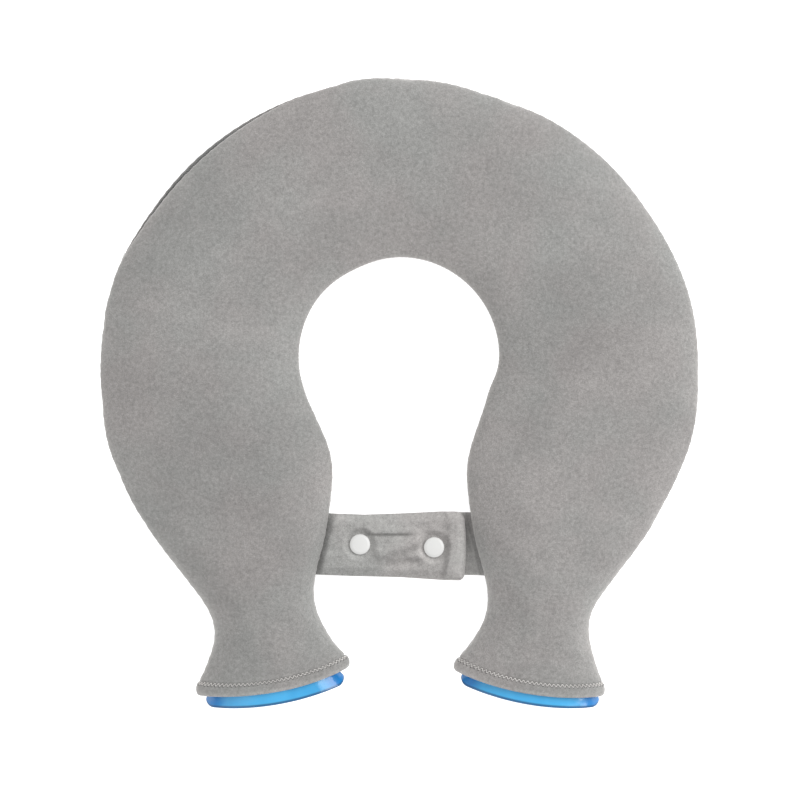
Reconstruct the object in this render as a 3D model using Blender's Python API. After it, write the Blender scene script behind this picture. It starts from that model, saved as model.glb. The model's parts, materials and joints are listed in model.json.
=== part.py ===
"""A U-shaped neck hot-water pillow, lying flat on its back panel.

Metres, +Z up. The U lies in the XY plane with its two legs pointing to -Y, the front panel faces +Z,
and the origin is at the centre of the bottom of the bounding box.
"""

import math

import bmesh
import bpy
from mathutils import Matrix, Vector

# ---------------------------------------------------------------- driving dimensions
THICKNESS = 0.040                 # filled pillow, back panel to front panel
SEAM_Z = THICKNESS / 2            # the seam runs round the middle
CLEARANCE = 0.0003                # between sewn, welded or seated pieces

RING_RADIUS = 0.1815              # outer edge of the U
RING_CENTRE_Y = 0.0085
RING_END_ANGLE = -12.0            # where the outer edge leaves the circle for the leg
HOLE_RADIUS = 0.0598              # edge of the neck opening
HOLE_CENTRE_Y = 0.0212
HOLE_END_ANGLE = -26.0
RING_SPANS = 7                    # control intervals along a quarter of the ring

# Right leg, outer and inner edge, from below the ring to the cuff.
LEG_OUTER = [(0.1700, -0.0490), (0.1580, -0.0725), (0.1415, -0.0975), (0.1250, -0.1185),
             (0.1146, -0.1340), (0.1136, -0.1500), (0.1175, -0.1665)]
LEG_INNER = [(0.0465, -0.0240), (0.0402, -0.0450), (0.0414, -0.0630), (0.0462, -0.0920),
             (0.0526, -0.1180), (0.0500, -0.1365), (0.0420, -0.1515)]

MOUTH_X = 0.0774                  # centre of the hem line of the right cuff
MOUTH_Y = -0.17477
MOUTH_TILT = math.radians(9.56)   # the mouths lean towards each other
CUFF_WIDTH = 0.0921
HEM_BOW = 0.0072                  # the hem bulges outwards in the middle

COVER_WALL = 0.0018
BAG_FLANGE_INSET = 0.0070         # edge of the water bag's weld, inside the cover's outline
BAG_FLANGE_WIDTH = 0.0040
BAG_FLANGE_THICKNESS = 0.0010
BAG_WALL = 0.0012
BAG_HALF_HEIGHT = 0.0170
BAG_NECK_HALF_WIDTH = 0.0222      # inside, round the funnel's tail

NECK_BORE = 0.0133                # radius of the bore that holds the threaded insert
THREAD_PITCH = 0.0040
THREAD_DEPTH = 0.0014
STOPPER_RADIUS = 0.0100           # crest of the stopper's thread
THREAD_CLEARANCE = 0.0004
INSERT_START = -0.0510            # the insert, out of the hem plane
INSERT_END = -0.0360
WASHER_THICKNESS = 0.0018
WASHER_BORE_RADIUS = 0.0104
FLANGE_START = INSERT_END + WASHER_THICKNESS + 2 * CLEARANCE
FLANGE_THICKNESS = 0.0024
FLANGE_RADIUS = 0.0122
GRIP_END = -0.0120
GRIP_RADIUS = 0.0096
GRIP_HOLLOW = 0.09                # depth of the grip's finger hollows, of its radius
LIP_REACH = 0.0075                # the lip stands this far out of the cuff at its ends
LIP_BOW = 0.0060                  # and this much further in the middle

STRAP_TOP_Y = -0.0726
STRAP_BOTTOM_Y = -0.1119
STRAP_THICKNESS = 0.0026
STRAP_ROOT_GAP = 0.0016           # hinge line, off the leg's edge
STRAP_UPPER_END_X = 0.0393
STRAP_LOWER_END_X = -0.0375
STRAP_UPPER_Z = 0.0203            # underside of the upper strap
STRAP_LOWER_Z = 0.0138            # underside of the lower strap
STRAP_CORNER = 0.0030
STRAP_ROOT_START = 0.0004         # the flap begins this far from its hinge line
SNAPS = {"left": (-0.0236, -0.0920), "right": (0.0212, -0.0938)}
SNAP_CAP_RADIUS = 0.0062
SNAP_BODY_RADIUS = 0.0052
SNAP_POST_RADIUS = 0.0012
SNAP_HOLE_RADIUS = 0.0016
SNAP_KNOB_RADIUS = 0.0021
SNAP_SOCKET_RADIUS = 0.00255

ZIP_START = 93.0                  # degrees round the ring's centre
ZIP_END = 173.0
ZIP_FADE = 4.0                    # the opening closes over this many degrees at each end
ZIP_RADIUS = 0.1787               # middle of the coils
ZIP_TILT = math.radians(20.0)     # the zip faces outwards and a little up
ZIP_HALF_OPENING = 0.0030
ZIP_RECESS = 0.0022               # the front panel's edge is set back above the zip
COIL_INSET = 10.2                 # degrees from the ends of the opening to the coils
TAPE_INSET = 9.2
TAPE_REACH = {"front": 0.0048, "back": 0.0036}    # from the middle of the zip to the tape's edge
SLIDER_ANGLE = 160.0
SLIDER_SPAN = 2.6                 # degrees
PULL_PIVOT_ALONG = 0.0010         # pin of the pull tab, back from the slider's middle
PULL_PIVOT_OUT = 0.0026           # and off the middle of the coils

# ---------------------------------------------------------------- resolution
RING_STEPS = 3                    # stations in one control interval of the cover, on the ring
LEG_STEPS = 2                     # the same on the legs
SECTION_POINTS = 8                # intervals across a cover panel
BAG_SECTION_POINTS = 6
FUNNEL_SIDES = 32
THREAD_SIDES = 16
INSERT_ROWS = 18
STOPPER_ROWS = 17
ZIP_STEP = 3.0                    # degrees
CAP_SIDES = 24
SNAP_SIDES = 16
HOLE_SIDES = 12


# ---------------------------------------------------------------- scene and materials
def clear_scene():
    for item in list(bpy.data.objects):
        bpy.data.objects.remove(item, do_unlink=True)


def material(name, colour, roughness, alpha=1.0):
    made = bpy.data.materials.new(name)
    made.use_nodes = True
    shader = made.node_tree.nodes["Principled BSDF"]
    shader.inputs["Base Color"].default_value = (*colour, 1.0)
    shader.inputs["Roughness"].default_value = roughness
    shader.inputs["Metallic"].default_value = 0.0
    shader.inputs["Alpha"].default_value = alpha
    made.diffuse_color = (*colour, alpha)
    return made


def add_object(name, bm, mat, origin=(0.0, 0.0, 0.0), smooth_angle=35.0):
    """Turn a bmesh in world coordinates into a named object whose origin is at `origin`."""
    bmesh.ops.translate(bm, verts=bm.verts, vec=-Vector(origin))
    bmesh.ops.recalc_face_normals(bm, faces=bm.faces)
    mesh = bpy.data.meshes.new(name)
    bm.to_mesh(mesh)
    bm.free()
    mesh.shade_smooth()
    mesh.set_sharp_from_angle(angle=math.radians(smooth_angle))
    mesh.materials.append(mat)
    item = bpy.data.objects.new(name, mesh)
    item.location = origin
    bpy.context.collection.objects.link(item)
    return item


# ---------------------------------------------------------------- shape helpers
def smooth_step(value):
    value = min(max(value, 0.0), 1.0)
    return value * value * (3.0 - 2.0 * value)


def spline_point(points, place):
    """A point on the smooth curve through `points`, which runs on mirrored before the first.

    Whole numbers are the points themselves. Tangents are weighted by the distance between points,
    so long intervals on the ring run smoothly into the short ones on the leg.
    """
    chain = [Vector((-points[1].x, points[1].y)), *points, points[-1] * 2.0 - points[-2]]
    k = min(int(place), len(points) - 2)
    u = place - k
    before, start, end, after = chain[k:k + 4]
    lengths = [(b - a).length for a, b in ((before, start), (start, end), (end, after))]
    slopes = []
    for a, middle, b, low, high in ((before, start, end, lengths[0], lengths[1]),
                                    (start, end, after, lengths[1], lengths[2])):
        slopes.append(((middle - a) * (high / low) + (b - middle) * (low / high)) / (low + high))
    first = slopes[0] * lengths[1]
    second = slopes[1] * lengths[1]
    return (start * (2 * u ** 3 - 3 * u ** 2 + 1) + first * (u ** 3 - 2 * u ** 2 + u)
            + end * (3 * u ** 2 - 2 * u ** 3) + second * (u ** 3 - u ** 2))


def arc(centre_y, radius, angle):
    return Vector((radius * math.cos(math.radians(angle)),
                   centre_y + radius * math.sin(math.radians(angle))))


def mouth_frame(side):
    """Matrix of a mouth: local +Z out of the mouth, local +Y up, local X across the cuff."""
    across = Vector((math.cos(MOUTH_TILT), -side * math.sin(MOUTH_TILT), 0.0))
    up = Vector((0.0, 0.0, 1.0))
    outwards = across.cross(up)
    rotation = Matrix((across, up, outwards)).transposed().to_4x4()
    return Matrix.Translation((side * MOUTH_X, MOUTH_Y, SEAM_Z)) @ rotation


def mouth_edge_pair(out, half_width):
    """Outer and inner edge points of the right leg, `out` along the mouth's axis from the hem."""
    frame = mouth_frame(1)
    outer = frame @ Vector((half_width, 0.0, out))
    inner = frame @ Vector((-half_width, 0.0, out))
    return outer.xy, inner.xy


def ring_pairs():
    pairs = []
    for k in range(RING_SPANS + 1):
        share = k / RING_SPANS
        outer = arc(RING_CENTRE_Y, RING_RADIUS, 90.0 + (RING_END_ANGLE - 90.0) * share)
        inner = arc(HOLE_CENTRE_Y, HOLE_RADIUS, 90.0 + (HOLE_END_ANGLE - 90.0) * share)
        pairs.append((outer, inner))
    return pairs


def cover_pairs():
    """Outer and inner edge of the right half of the cover, from the top of the U to the hem."""
    leg = [(Vector(outer), Vector(inner)) for outer, inner in zip(LEG_OUTER, LEG_INNER)]
    return ring_pairs() + leg + [mouth_edge_pair(0.0, CUFF_WIDTH / 2)]


def bag_pairs():
    """The weld's edge of the water bag: the cover's outline set in, then the neck of the funnel."""
    rim = BAG_FLANGE_WIDTH + BAG_WALL
    pairs = []
    for outer, inner in cover_pairs()[:RING_SPANS + 5]:
        across = (outer - inner).normalized() * BAG_FLANGE_INSET
        pairs.append((outer - across, inner + across))
    for out, half_width in ((-0.060, 0.0235), (-0.054, BAG_NECK_HALF_WIDTH),
                            (-0.047, BAG_NECK_HALF_WIDTH)):
        pairs.append(mouth_edge_pair(out, half_width + rim))
    return pairs


def station(pairs, place):
    """Edge points at `place`; negative places are on the left half."""
    outer = spline_point([pair[0] for pair in pairs], abs(place))
    inner = spline_point([pair[1] for pair in pairs], abs(place))
    if place < 0.0:
        outer = Vector((-outer.x, outer.y))
        inner = Vector((-inner.x, inner.y))
    return outer, inner


def station_places(pairs, ring_steps, leg_steps):
    """Places of all stations from the left end, over the ring, to the right end."""
    right = [k / ring_steps for k in range(RING_SPANS * ring_steps)]
    right += [RING_SPANS + k / leg_steps for k in range((len(pairs) - 1 - RING_SPANS) * leg_steps + 1)]
    return [-place for place in right[:0:-1]] + right


def zip_share(point):
    """1 where the cover is open for the zip, 0 away from it."""
    angle = math.degrees(math.atan2(point.y - RING_CENTRE_Y, point.x))
    if angle < 0.0:
        return 0.0
    return smooth_step((angle - ZIP_START) / ZIP_FADE) * smooth_step((ZIP_END - angle) / ZIP_FADE)


def section_places(count):
    """Places across a panel, -1 at the inner edge and +1 at the outer, closer near the edges."""
    return [-math.cos(math.pi * k / count) for k in range(count + 1)]


def dome(v, sharpness=2.4):
    return math.sqrt(max(0.0, 1.0 - abs(v) ** sharpness))


def flattened(v):
    """The underside's profile: a dome pressed flat over its middle, where the pillow rests."""
    return min(1.0, 1.08 * dome(v))


def sweep_sections(bm, sections, closed_section=True):
    """Join equal rings of points into a band; each section is a closed loop of points."""
    rings = [[bm.verts.new(point) for point in section] for section in sections]
    size = len(rings[0])
    for first, second in zip(rings, rings[1:]):
        for k in range(size if closed_section else size - 1):
            after = (k + 1) % size
            bm.faces.new((first[k], first[after], second[after], second[k]))
    return rings


def cap_wall(bm, ring):
    """Close the end of a thin wall whose ring runs along the outside and back along the inside."""
    half = len(ring) // 2
    for k in range(half - 1):
        bm.faces.new((ring[k], ring[k + 1], ring[-k - 2], ring[-k - 1]))


# ---------------------------------------------------------------- cover
def cover_section(pairs, place, front):
    """Loop round the wall of one cover panel at one station, outside first, then inside."""
    outer, inner = station(pairs, place)
    opening = zip_share(outer)
    side = -1.0 if place < 0.0 else 1.0
    outwards = mouth_frame(side).to_3x3() @ Vector((0.0, 0.0, 1.0))
    bow = HEM_BOW * smooth_step((abs(place) - (len(pairs) - 5)) / 4.0)
    across = (outer - inner).normalized()
    sign = 1.0 if front else -1.0
    loops = []
    for inset in (0.0, COVER_WALL):
        loop = []
        recess = ZIP_RECESS * opening if front else 0.0
        low = inner + across * inset
        high = outer - across * (inset + recess)
        rise = SEAM_Z - inset
        profile = dome if front else flattened
        for v in section_places(SECTION_POINTS):
            share = (v + 1.0) / 2.0
            flat = low.lerp(high, share)
            rim = CLEARANCE / 2 + ZIP_HALF_OPENING * opening * smooth_step(share * 2.0 - 1.0)
            height = rim + (rise - rim) * profile(v)
            point = Vector((flat.x, flat.y, SEAM_Z + sign * height))
            loop.append(point + outwards * bow * (1.0 - v * v))
        loops.append(loop)
    return loops[0] + loops[1][::-1]


def build_cover(name, front, mat):
    pairs = cover_pairs()
    bm = bmesh.new()
    places = station_places(pairs, RING_STEPS, LEG_STEPS)
    sections = [cover_section(pairs, place, front) for place in places]
    rings = sweep_sections(bm, sections)
    cap_wall(bm, rings[0])
    cap_wall(bm, rings[-1])
    add_object(name, bm, mat, smooth_angle=60.0)


# ---------------------------------------------------------------- water bag
def bag_section(pairs, place, front):
    """Loop round a bag wall: the flat weld flange at both edges and the dome between them."""
    outer, inner = station(pairs, place)
    across = (outer - inner).normalized()
    sign = 1.0 if front else -1.0
    sharpness = 2.4 - 0.4 * smooth_step((abs(place) - (len(pairs) - 4)) / 2.0)
    seam = CLEARANCE / 2
    outside = [(inner, seam + BAG_FLANGE_THICKNESS)]
    inside = [(inner, seam)]
    for inset, rise, base, loop in (
            (BAG_FLANGE_WIDTH, BAG_HALF_HEIGHT, seam + BAG_FLANGE_THICKNESS, outside),
            (BAG_FLANGE_WIDTH + BAG_WALL, BAG_HALF_HEIGHT - BAG_WALL, seam, inside)):
        low = inner + across * inset
        high = outer - across * inset
        for v in section_places(BAG_SECTION_POINTS):
            height = base + (rise - base) * dome(v, sharpness)
            loop.append((low.lerp(high, (v + 1.0) / 2.0), height))
    outside.append((outer, seam + BAG_FLANGE_THICKNESS))
    inside.append((outer, seam))
    return [Vector((flat.x, flat.y, SEAM_Z + sign * height))
            for flat, height in outside + inside[::-1]]


def build_bag(name, front, mat):
    pairs = bag_pairs()
    bm = bmesh.new()
    sections = [bag_section(pairs, place, front) for place in station_places(pairs, 2, 1)]
    rings = sweep_sections(bm, sections)
    cap_wall(bm, rings[0])
    cap_wall(bm, rings[-1])
    add_object(name, bm, mat, smooth_angle=60.0)


# ---------------------------------------------------------------- filling mouths
def oval(half_width, half_height, out, sides, bow=0.0):
    """An oval ring across the mouth's axis, in the mouth's frame."""
    points = []
    for k in range(sides):
        angle = 2.0 * math.pi * k / sides
        lift = bow * math.sin(angle) ** 2
        points.append(Vector((half_width * math.cos(angle), half_height * math.sin(angle), out + lift)))
    return points


def lip_bow(out):
    return LIP_BOW * smooth_step((out + 0.014) / (LIP_REACH + 0.014))


def close_tube(bm, rings):
    """Join the last ring of a swept tube back to the first, which makes a hollow solid."""
    size = len(rings[0])
    for k in range(size):
        after = (k + 1) % size
        bm.faces.new((rings[-1][k], rings[-1][after], rings[0][after], rings[0][k]))


def place_in_mouth(item, side):
    item.matrix_world = mouth_frame(side)


def build_funnel(name, side, mat):
    """Round bore for the insert, flaring to the flat oval lip."""
    outside = [(-0.0580, 0.0208, 0.0149), (-0.0470, 0.0208, 0.0149), (-0.0400, 0.0218, 0.0155),
               (-0.0320, 0.0236, 0.0159), (-0.0230, 0.0274, 0.0162), (-0.0130, 0.0324, 0.0165),
               (-0.0040, 0.0366, 0.0168), (0.0030, 0.0396, 0.0170), (0.0065, 0.0411, 0.0173)]
    rim = [(LIP_REACH - 0.0002, 0.0412, 0.0172), (LIP_REACH, 0.0406, 0.0167),
           (LIP_REACH - 0.0003, 0.0398, 0.0159)]
    inside = [(0.0060, 0.0392, 0.0155), (0.0030, 0.0378, 0.0153), (-0.0040, 0.0347, 0.0151),
              (-0.0130, 0.0305, 0.0148), (-0.0230, 0.0252, 0.0144), (-0.0310, 0.0195, 0.0140),
              (-0.0340, NECK_BORE, NECK_BORE), (-0.0580, NECK_BORE, NECK_BORE)]
    bm = bmesh.new()
    sections = [oval(wide, high, out, FUNNEL_SIDES, lip_bow(out))
                for out, wide, high in outside + rim + inside]
    rings = sweep_sections(bm, sections)
    close_tube(bm, rings)
    place_in_mouth(add_object(name, bm, mat, smooth_angle=50.0), side)


def thread_height(angle, out, fade):
    """Rounded bottle thread: 0 at the root, 1 at the crest, right-handed about the outward axis."""
    turn = out / THREAD_PITCH - angle / (2.0 * math.pi)
    return fade * 0.5 * (1.0 + math.cos(2.0 * math.pi * turn))


def thread_ring(root, depth, out, fade, sides):
    points = []
    for k in range(sides):
        angle = 2.0 * math.pi * k / sides
        radius = root + depth * thread_height(angle, out, fade)
        points.append(Vector((radius * math.cos(angle), radius * math.sin(angle), out)))
    return points


def build_insert(name, side, mat):
    """Rigid bush with the female thread; the thread's clearance is all on this side."""
    root = STOPPER_RADIUS - THREAD_DEPTH + THREAD_CLEARANCE
    bm = bmesh.new()
    outside = NECK_BORE - CLEARANCE
    sections = [oval(outside, outside, INSERT_START, THREAD_SIDES),
                oval(outside, outside, INSERT_END, THREAD_SIDES)]
    for k in range(INSERT_ROWS + 1):
        out = INSERT_END + (INSERT_START - INSERT_END) * k / INSERT_ROWS
        sections.append(thread_ring(root, THREAD_DEPTH, out, 1.0, THREAD_SIDES))
    rings = sweep_sections(bm, sections)
    close_tube(bm, rings)
    place_in_mouth(add_object(name, bm, mat, smooth_angle=55.0), side)


def build_stopper(name, side, mat):
    """Threaded shank, flange over the washer and a lobed grip, as one turned piece."""
    root = STOPPER_RADIUS - THREAD_DEPTH
    tip = INSERT_START + 0.0015
    neck = FLANGE_START - 0.0012
    bm = bmesh.new()
    sections = [thread_ring(root - 0.0020, 0.0, tip - 0.0008, 0.0, THREAD_SIDES)]
    for k in range(STOPPER_ROWS + 1):
        out = tip + (neck - tip) * k / STOPPER_ROWS
        fade = smooth_step(k / 3.0) * smooth_step((STOPPER_ROWS - k) / 3.0)
        sections.append(thread_ring(root, THREAD_DEPTH, out, fade, THREAD_SIDES))
    grip_start = FLANGE_START + FLANGE_THICKNESS
    for out, radius in ((FLANGE_START, root), (FLANGE_START, FLANGE_RADIUS),
                        (grip_start, FLANGE_RADIUS), (grip_start + 0.0006, FLANGE_RADIUS - 0.0008)):
        sections.append(oval(radius, radius, out, THREAD_SIDES))
    for out, radius in ((grip_start + 0.0014, GRIP_RADIUS - 0.0008), (GRIP_END - 0.0030, GRIP_RADIUS),
                        (GRIP_END - 0.0010, GRIP_RADIUS - 0.0006), (GRIP_END, GRIP_RADIUS - 0.0022),
                        (GRIP_END, GRIP_RADIUS - 0.0046), (GRIP_END - 0.0040, GRIP_RADIUS - 0.0054)):
        sections.append(lobed(radius, out))
    rings = sweep_sections(bm, sections)
    bm.faces.new(rings[0])
    bm.faces.new(rings[-1])
    place_in_mouth(add_object(name, bm, mat, smooth_angle=50.0), side)


def lobed(radius, out):
    """A ring with five shallow finger hollows."""
    points = []
    for k in range(THREAD_SIDES):
        angle = 2.0 * math.pi * k / THREAD_SIDES
        reach = radius * (1.0 + GRIP_HOLLOW * math.cos(5.0 * angle))
        points.append(Vector((reach * math.cos(angle), reach * math.sin(angle), out)))
    return points


def build_washer(name, side, mat):
    """Flat sealing ring between the insert's end and the stopper's flange."""
    low = INSERT_END + CLEARANCE
    high = low + WASHER_THICKNESS
    inner, outer, chamfer = WASHER_BORE_RADIUS, FLANGE_RADIUS, 0.0003
    bm = bmesh.new()
    sections = [oval(radius, radius, out, THREAD_SIDES) for radius, out in (
        (inner, low + chamfer), (inner + chamfer, low), (outer - chamfer, low),
        (outer, low + chamfer), (outer, high - chamfer), (outer - chamfer, high),
        (inner + chamfer, high), (inner, high - chamfer))]
    rings = sweep_sections(bm, sections)
    close_tube(bm, rings)
    place_in_mouth(add_object(name, bm, mat, smooth_angle=30.0), side)


# ---------------------------------------------------------------- strap and snaps
def leg_edge_x(y):
    """X of the right leg's inner edge at height y of the U, by bisection along the outline."""
    pairs = cover_pairs()
    low, high = float(RING_SPANS + 2), float(RING_SPANS + 5)
    for _ in range(40):
        middle = (low + high) / 2
        if station(pairs, middle)[1].y > y:
            low = middle
        else:
            high = middle
    return station(pairs, (low + high) / 2)[1].x


def strap_hinge(side):
    """Top and bottom ends of a strap's hinge line, just off the edge of its leg."""
    top = side * (leg_edge_x(STRAP_TOP_Y) - STRAP_ROOT_GAP)
    bottom = side * (leg_edge_x(STRAP_BOTTOM_Y) - STRAP_ROOT_GAP)
    return top, bottom


def build_strap(name, side, end_x, underside, mat):
    """Flat padded tab from its slanted root by the leg's edge to its square free end."""
    top_root, bottom_root = strap_hinge(side)
    towards = 1.0 if end_x > top_root else -1.0
    bm = bmesh.new()
    outline = [(top_root + towards * STRAP_ROOT_START, STRAP_TOP_Y),
               (end_x - towards * STRAP_CORNER, STRAP_TOP_Y),
               (end_x, STRAP_TOP_Y - STRAP_CORNER),
               (end_x, STRAP_BOTTOM_Y + STRAP_CORNER),
               (end_x - towards * STRAP_CORNER, STRAP_BOTTOM_Y),
               (bottom_root + towards * STRAP_ROOT_START, STRAP_BOTTOM_Y)]
    base = [bm.verts.new((x, y, underside)) for x, y in outline]
    face = bm.faces.new(base)
    grown = bmesh.ops.extrude_face_region(bm, geom=[face])
    raised = [item for item in grown["geom"] if isinstance(item, bmesh.types.BMVert)]
    bmesh.ops.translate(bm, verts=raised, vec=(0.0, 0.0, STRAP_THICKNESS))
    hinge_z = underside + STRAP_THICKNESS / 2
    origin = ((top_root + bottom_root) / 2, (STRAP_TOP_Y + STRAP_BOTTOM_Y) / 2, hinge_z)
    strap = add_object(name, bm, mat, origin)
    rounding = strap.modifiers.new("rounded edges", "BEVEL")
    rounding.width = 0.0009
    rounding.segments = 2
    for label, (x, y) in SNAPS.items():
        cut = strap.modifiers.new(f"{label} snap hole", "BOOLEAN")
        cut.operation = "DIFFERENCE"
        cut.object = snap_hole(f"{name}_{label}_hole", x, y, underside)
    return strap


def snap_hole(name, x, y, underside):
    bm = bmesh.new()
    bmesh.ops.create_cone(bm, cap_ends=True, segments=HOLE_SIDES, radius1=SNAP_HOLE_RADIUS,
                          radius2=SNAP_HOLE_RADIUS, depth=3 * STRAP_THICKNESS)
    place = (x, y, underside + STRAP_THICKNESS / 2)
    bmesh.ops.translate(bm, verts=bm.verts, vec=place)
    cutter = add_object(name, bm, None, place)
    cutter.hide_render = True
    cutter.display_type = "WIRE"
    return cutter


def turned(name, profile, centre, flip, mat, origin, sides=SNAP_SIDES):
    """A solid of revolution about the vertical axis through `centre`; profile is (radius, height)."""
    sign = -1.0 if flip else 1.0
    x, y, base = centre
    bm = bmesh.new()
    first = [bm.verts.new((x + radius, y, base + sign * height)) for radius, height in profile]
    edges = [bm.edges.new(pair) for pair in zip(first, first[1:])]
    bmesh.ops.spin(bm, geom=first + edges, cent=centre, axis=(0.0, 0.0, 1.0),
                   angle=2.0 * math.pi, steps=sides, use_merge=True)
    bmesh.ops.remove_doubles(bm, verts=bm.verts, dist=1e-6)
    add_object(name, bm, mat, origin, smooth_angle=40.0)


def cap_profile(post):
    """Domed snap cap with its post pointing down from height 0."""
    return [(0.0, -post), (SNAP_POST_RADIUS, -post), (SNAP_POST_RADIUS, 0.0),
            (SNAP_CAP_RADIUS - 0.0004, 0.0), (SNAP_CAP_RADIUS, 0.0004),
            (SNAP_CAP_RADIUS - 0.0003, 0.0009), (SNAP_CAP_RADIUS * 0.75, 0.0014),
            (SNAP_CAP_RADIUS * 0.4, 0.0016), (0.0, 0.0017)]


def socket_profile():
    """Ring that takes the knob from below, with a closed roof that holds the cap's post."""
    roof = 0.0006
    return [(SNAP_SOCKET_RADIUS, -0.0022), (SNAP_BODY_RADIUS - 0.0006, -0.0022),
            (SNAP_BODY_RADIUS, -0.0016), (SNAP_BODY_RADIUS, 0.0),
            (SNAP_HOLE_RADIUS, 0.0), (SNAP_HOLE_RADIUS, -roof), (SNAP_SOCKET_RADIUS, -roof),
            (SNAP_SOCKET_RADIUS, -0.0022)]


def stud_profile():
    """Flange with the round-nosed knob; a blind hole underneath takes the back cap's post."""
    flange = 0.0010
    top = flange + 0.0018
    return [(SNAP_HOLE_RADIUS, 0.0), (SNAP_BODY_RADIUS, 0.0), (SNAP_BODY_RADIUS, flange - 0.0003),
            (SNAP_BODY_RADIUS - 0.0006, flange), (SNAP_KNOB_RADIUS, flange),
            (SNAP_KNOB_RADIUS, top - 0.0005), (SNAP_KNOB_RADIUS - 0.0006, top), (0.0, top),
            (0.0, top - 0.0006), (SNAP_HOLE_RADIUS - 0.0001, top - 0.0006), (SNAP_HOLE_RADIUS, 0.0)]


def build_snaps(mat, upper_origin, lower_origin):
    """Cap and socket clamped on the upper strap, stud and back cap clamped on the lower one."""
    upper_top = STRAP_UPPER_Z + STRAP_THICKNESS + CLEARANCE / 2
    upper_under = STRAP_UPPER_Z - CLEARANCE / 2
    lower_top = STRAP_LOWER_Z + STRAP_THICKNESS + CLEARANCE / 2
    lower_under = STRAP_LOWER_Z - CLEARANCE / 2
    cap_post = STRAP_THICKNESS + 0.0005
    back_cap_post = STRAP_THICKNESS + 0.0011
    for label, (x, y) in SNAPS.items():
        turned(f"snap_cap_{label}", cap_profile(cap_post), (x, y, upper_top), False, mat,
               upper_origin, CAP_SIDES)
        turned(f"snap_socket_{label}", socket_profile(), (x, y, upper_under), False, mat,
               upper_origin)
        turned(f"snap_stud_{label}", stud_profile(), (x, y, lower_top), False, mat, lower_origin)
        turned(f"snap_back_cap_{label}", cap_profile(back_cap_post), (x, y, lower_under), True, mat,
               lower_origin)


# ---------------------------------------------------------------- zip
def zip_point(angle, out, width):
    """Point of the zip: `out` of its face and `width` up across it, round the ring's centre."""
    radius = ZIP_RADIUS + out * math.cos(ZIP_TILT) - width * math.sin(ZIP_TILT)
    height = SEAM_Z + out * math.sin(ZIP_TILT) + width * math.cos(ZIP_TILT)
    turn = math.radians(angle)
    return Vector((radius * math.cos(turn), RING_CENTRE_Y + radius * math.sin(turn), height))


def zip_band(name, start, end, step, profile, mat, origin=(0.0, 0.0, 0.0)):
    """A bar that follows the zip from one angle to another; profile is (out, width) points."""
    count = max(1, round((end - start) / step))
    bm = bmesh.new()
    sections = [[zip_point(start + (end - start) * k / count, out, width) for out, width in profile]
                for k in range(count + 1)]
    rings = sweep_sections(bm, sections)
    bm.faces.new(rings[0])
    bm.faces.new(rings[-1])
    return add_object(name, bm, mat, origin)


def box_profile(out_low, out_high, width_low, width_high):
    return [(out_low, width_low), (out_high, width_low), (out_high, width_high), (out_low, width_high)]


def mirrored_profile(profile, sign):
    return [(out, sign * width) for out, width in profile]


def build_zip(mats):
    coil_start = ZIP_START + COIL_INSET
    coil_end = ZIP_END - COIL_INSET
    coil = [(-0.0007, 0.0008), (0.0003, 0.0008), (0.0007, 0.0012), (0.0007, 0.0017),
            (0.0003, 0.0020), (-0.0007, 0.0020)]
    for label, sign in (("front", 1.0), ("back", -1.0)):
        tape = box_profile(-0.0016, -0.0010, 0.0009, TAPE_REACH[label])
        zip_band(f"zip_tape_{label}", ZIP_START + TAPE_INSET, ZIP_END - TAPE_INSET, ZIP_STEP,
                 mirrored_profile(tape, sign), mats["tape"])
        zip_band(f"zip_coil_{label}", coil_start, coil_end, ZIP_STEP, mirrored_profile(coil, sign),
                 mats["coil"])
        stop = box_profile(-0.0008, 0.0010, 0.0007, 0.0022)
        zip_band(f"zip_top_stop_{label}", coil_end + 0.1, coil_end + 0.8, ZIP_STEP,
                 mirrored_profile(stop, sign), mats["slider"])
    zip_band("zip_bottom_stop", coil_start - 0.9, coil_start - 0.1, ZIP_STEP,
             box_profile(-0.0008, 0.0010, -0.0022, 0.0022), mats["slider"])


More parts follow.
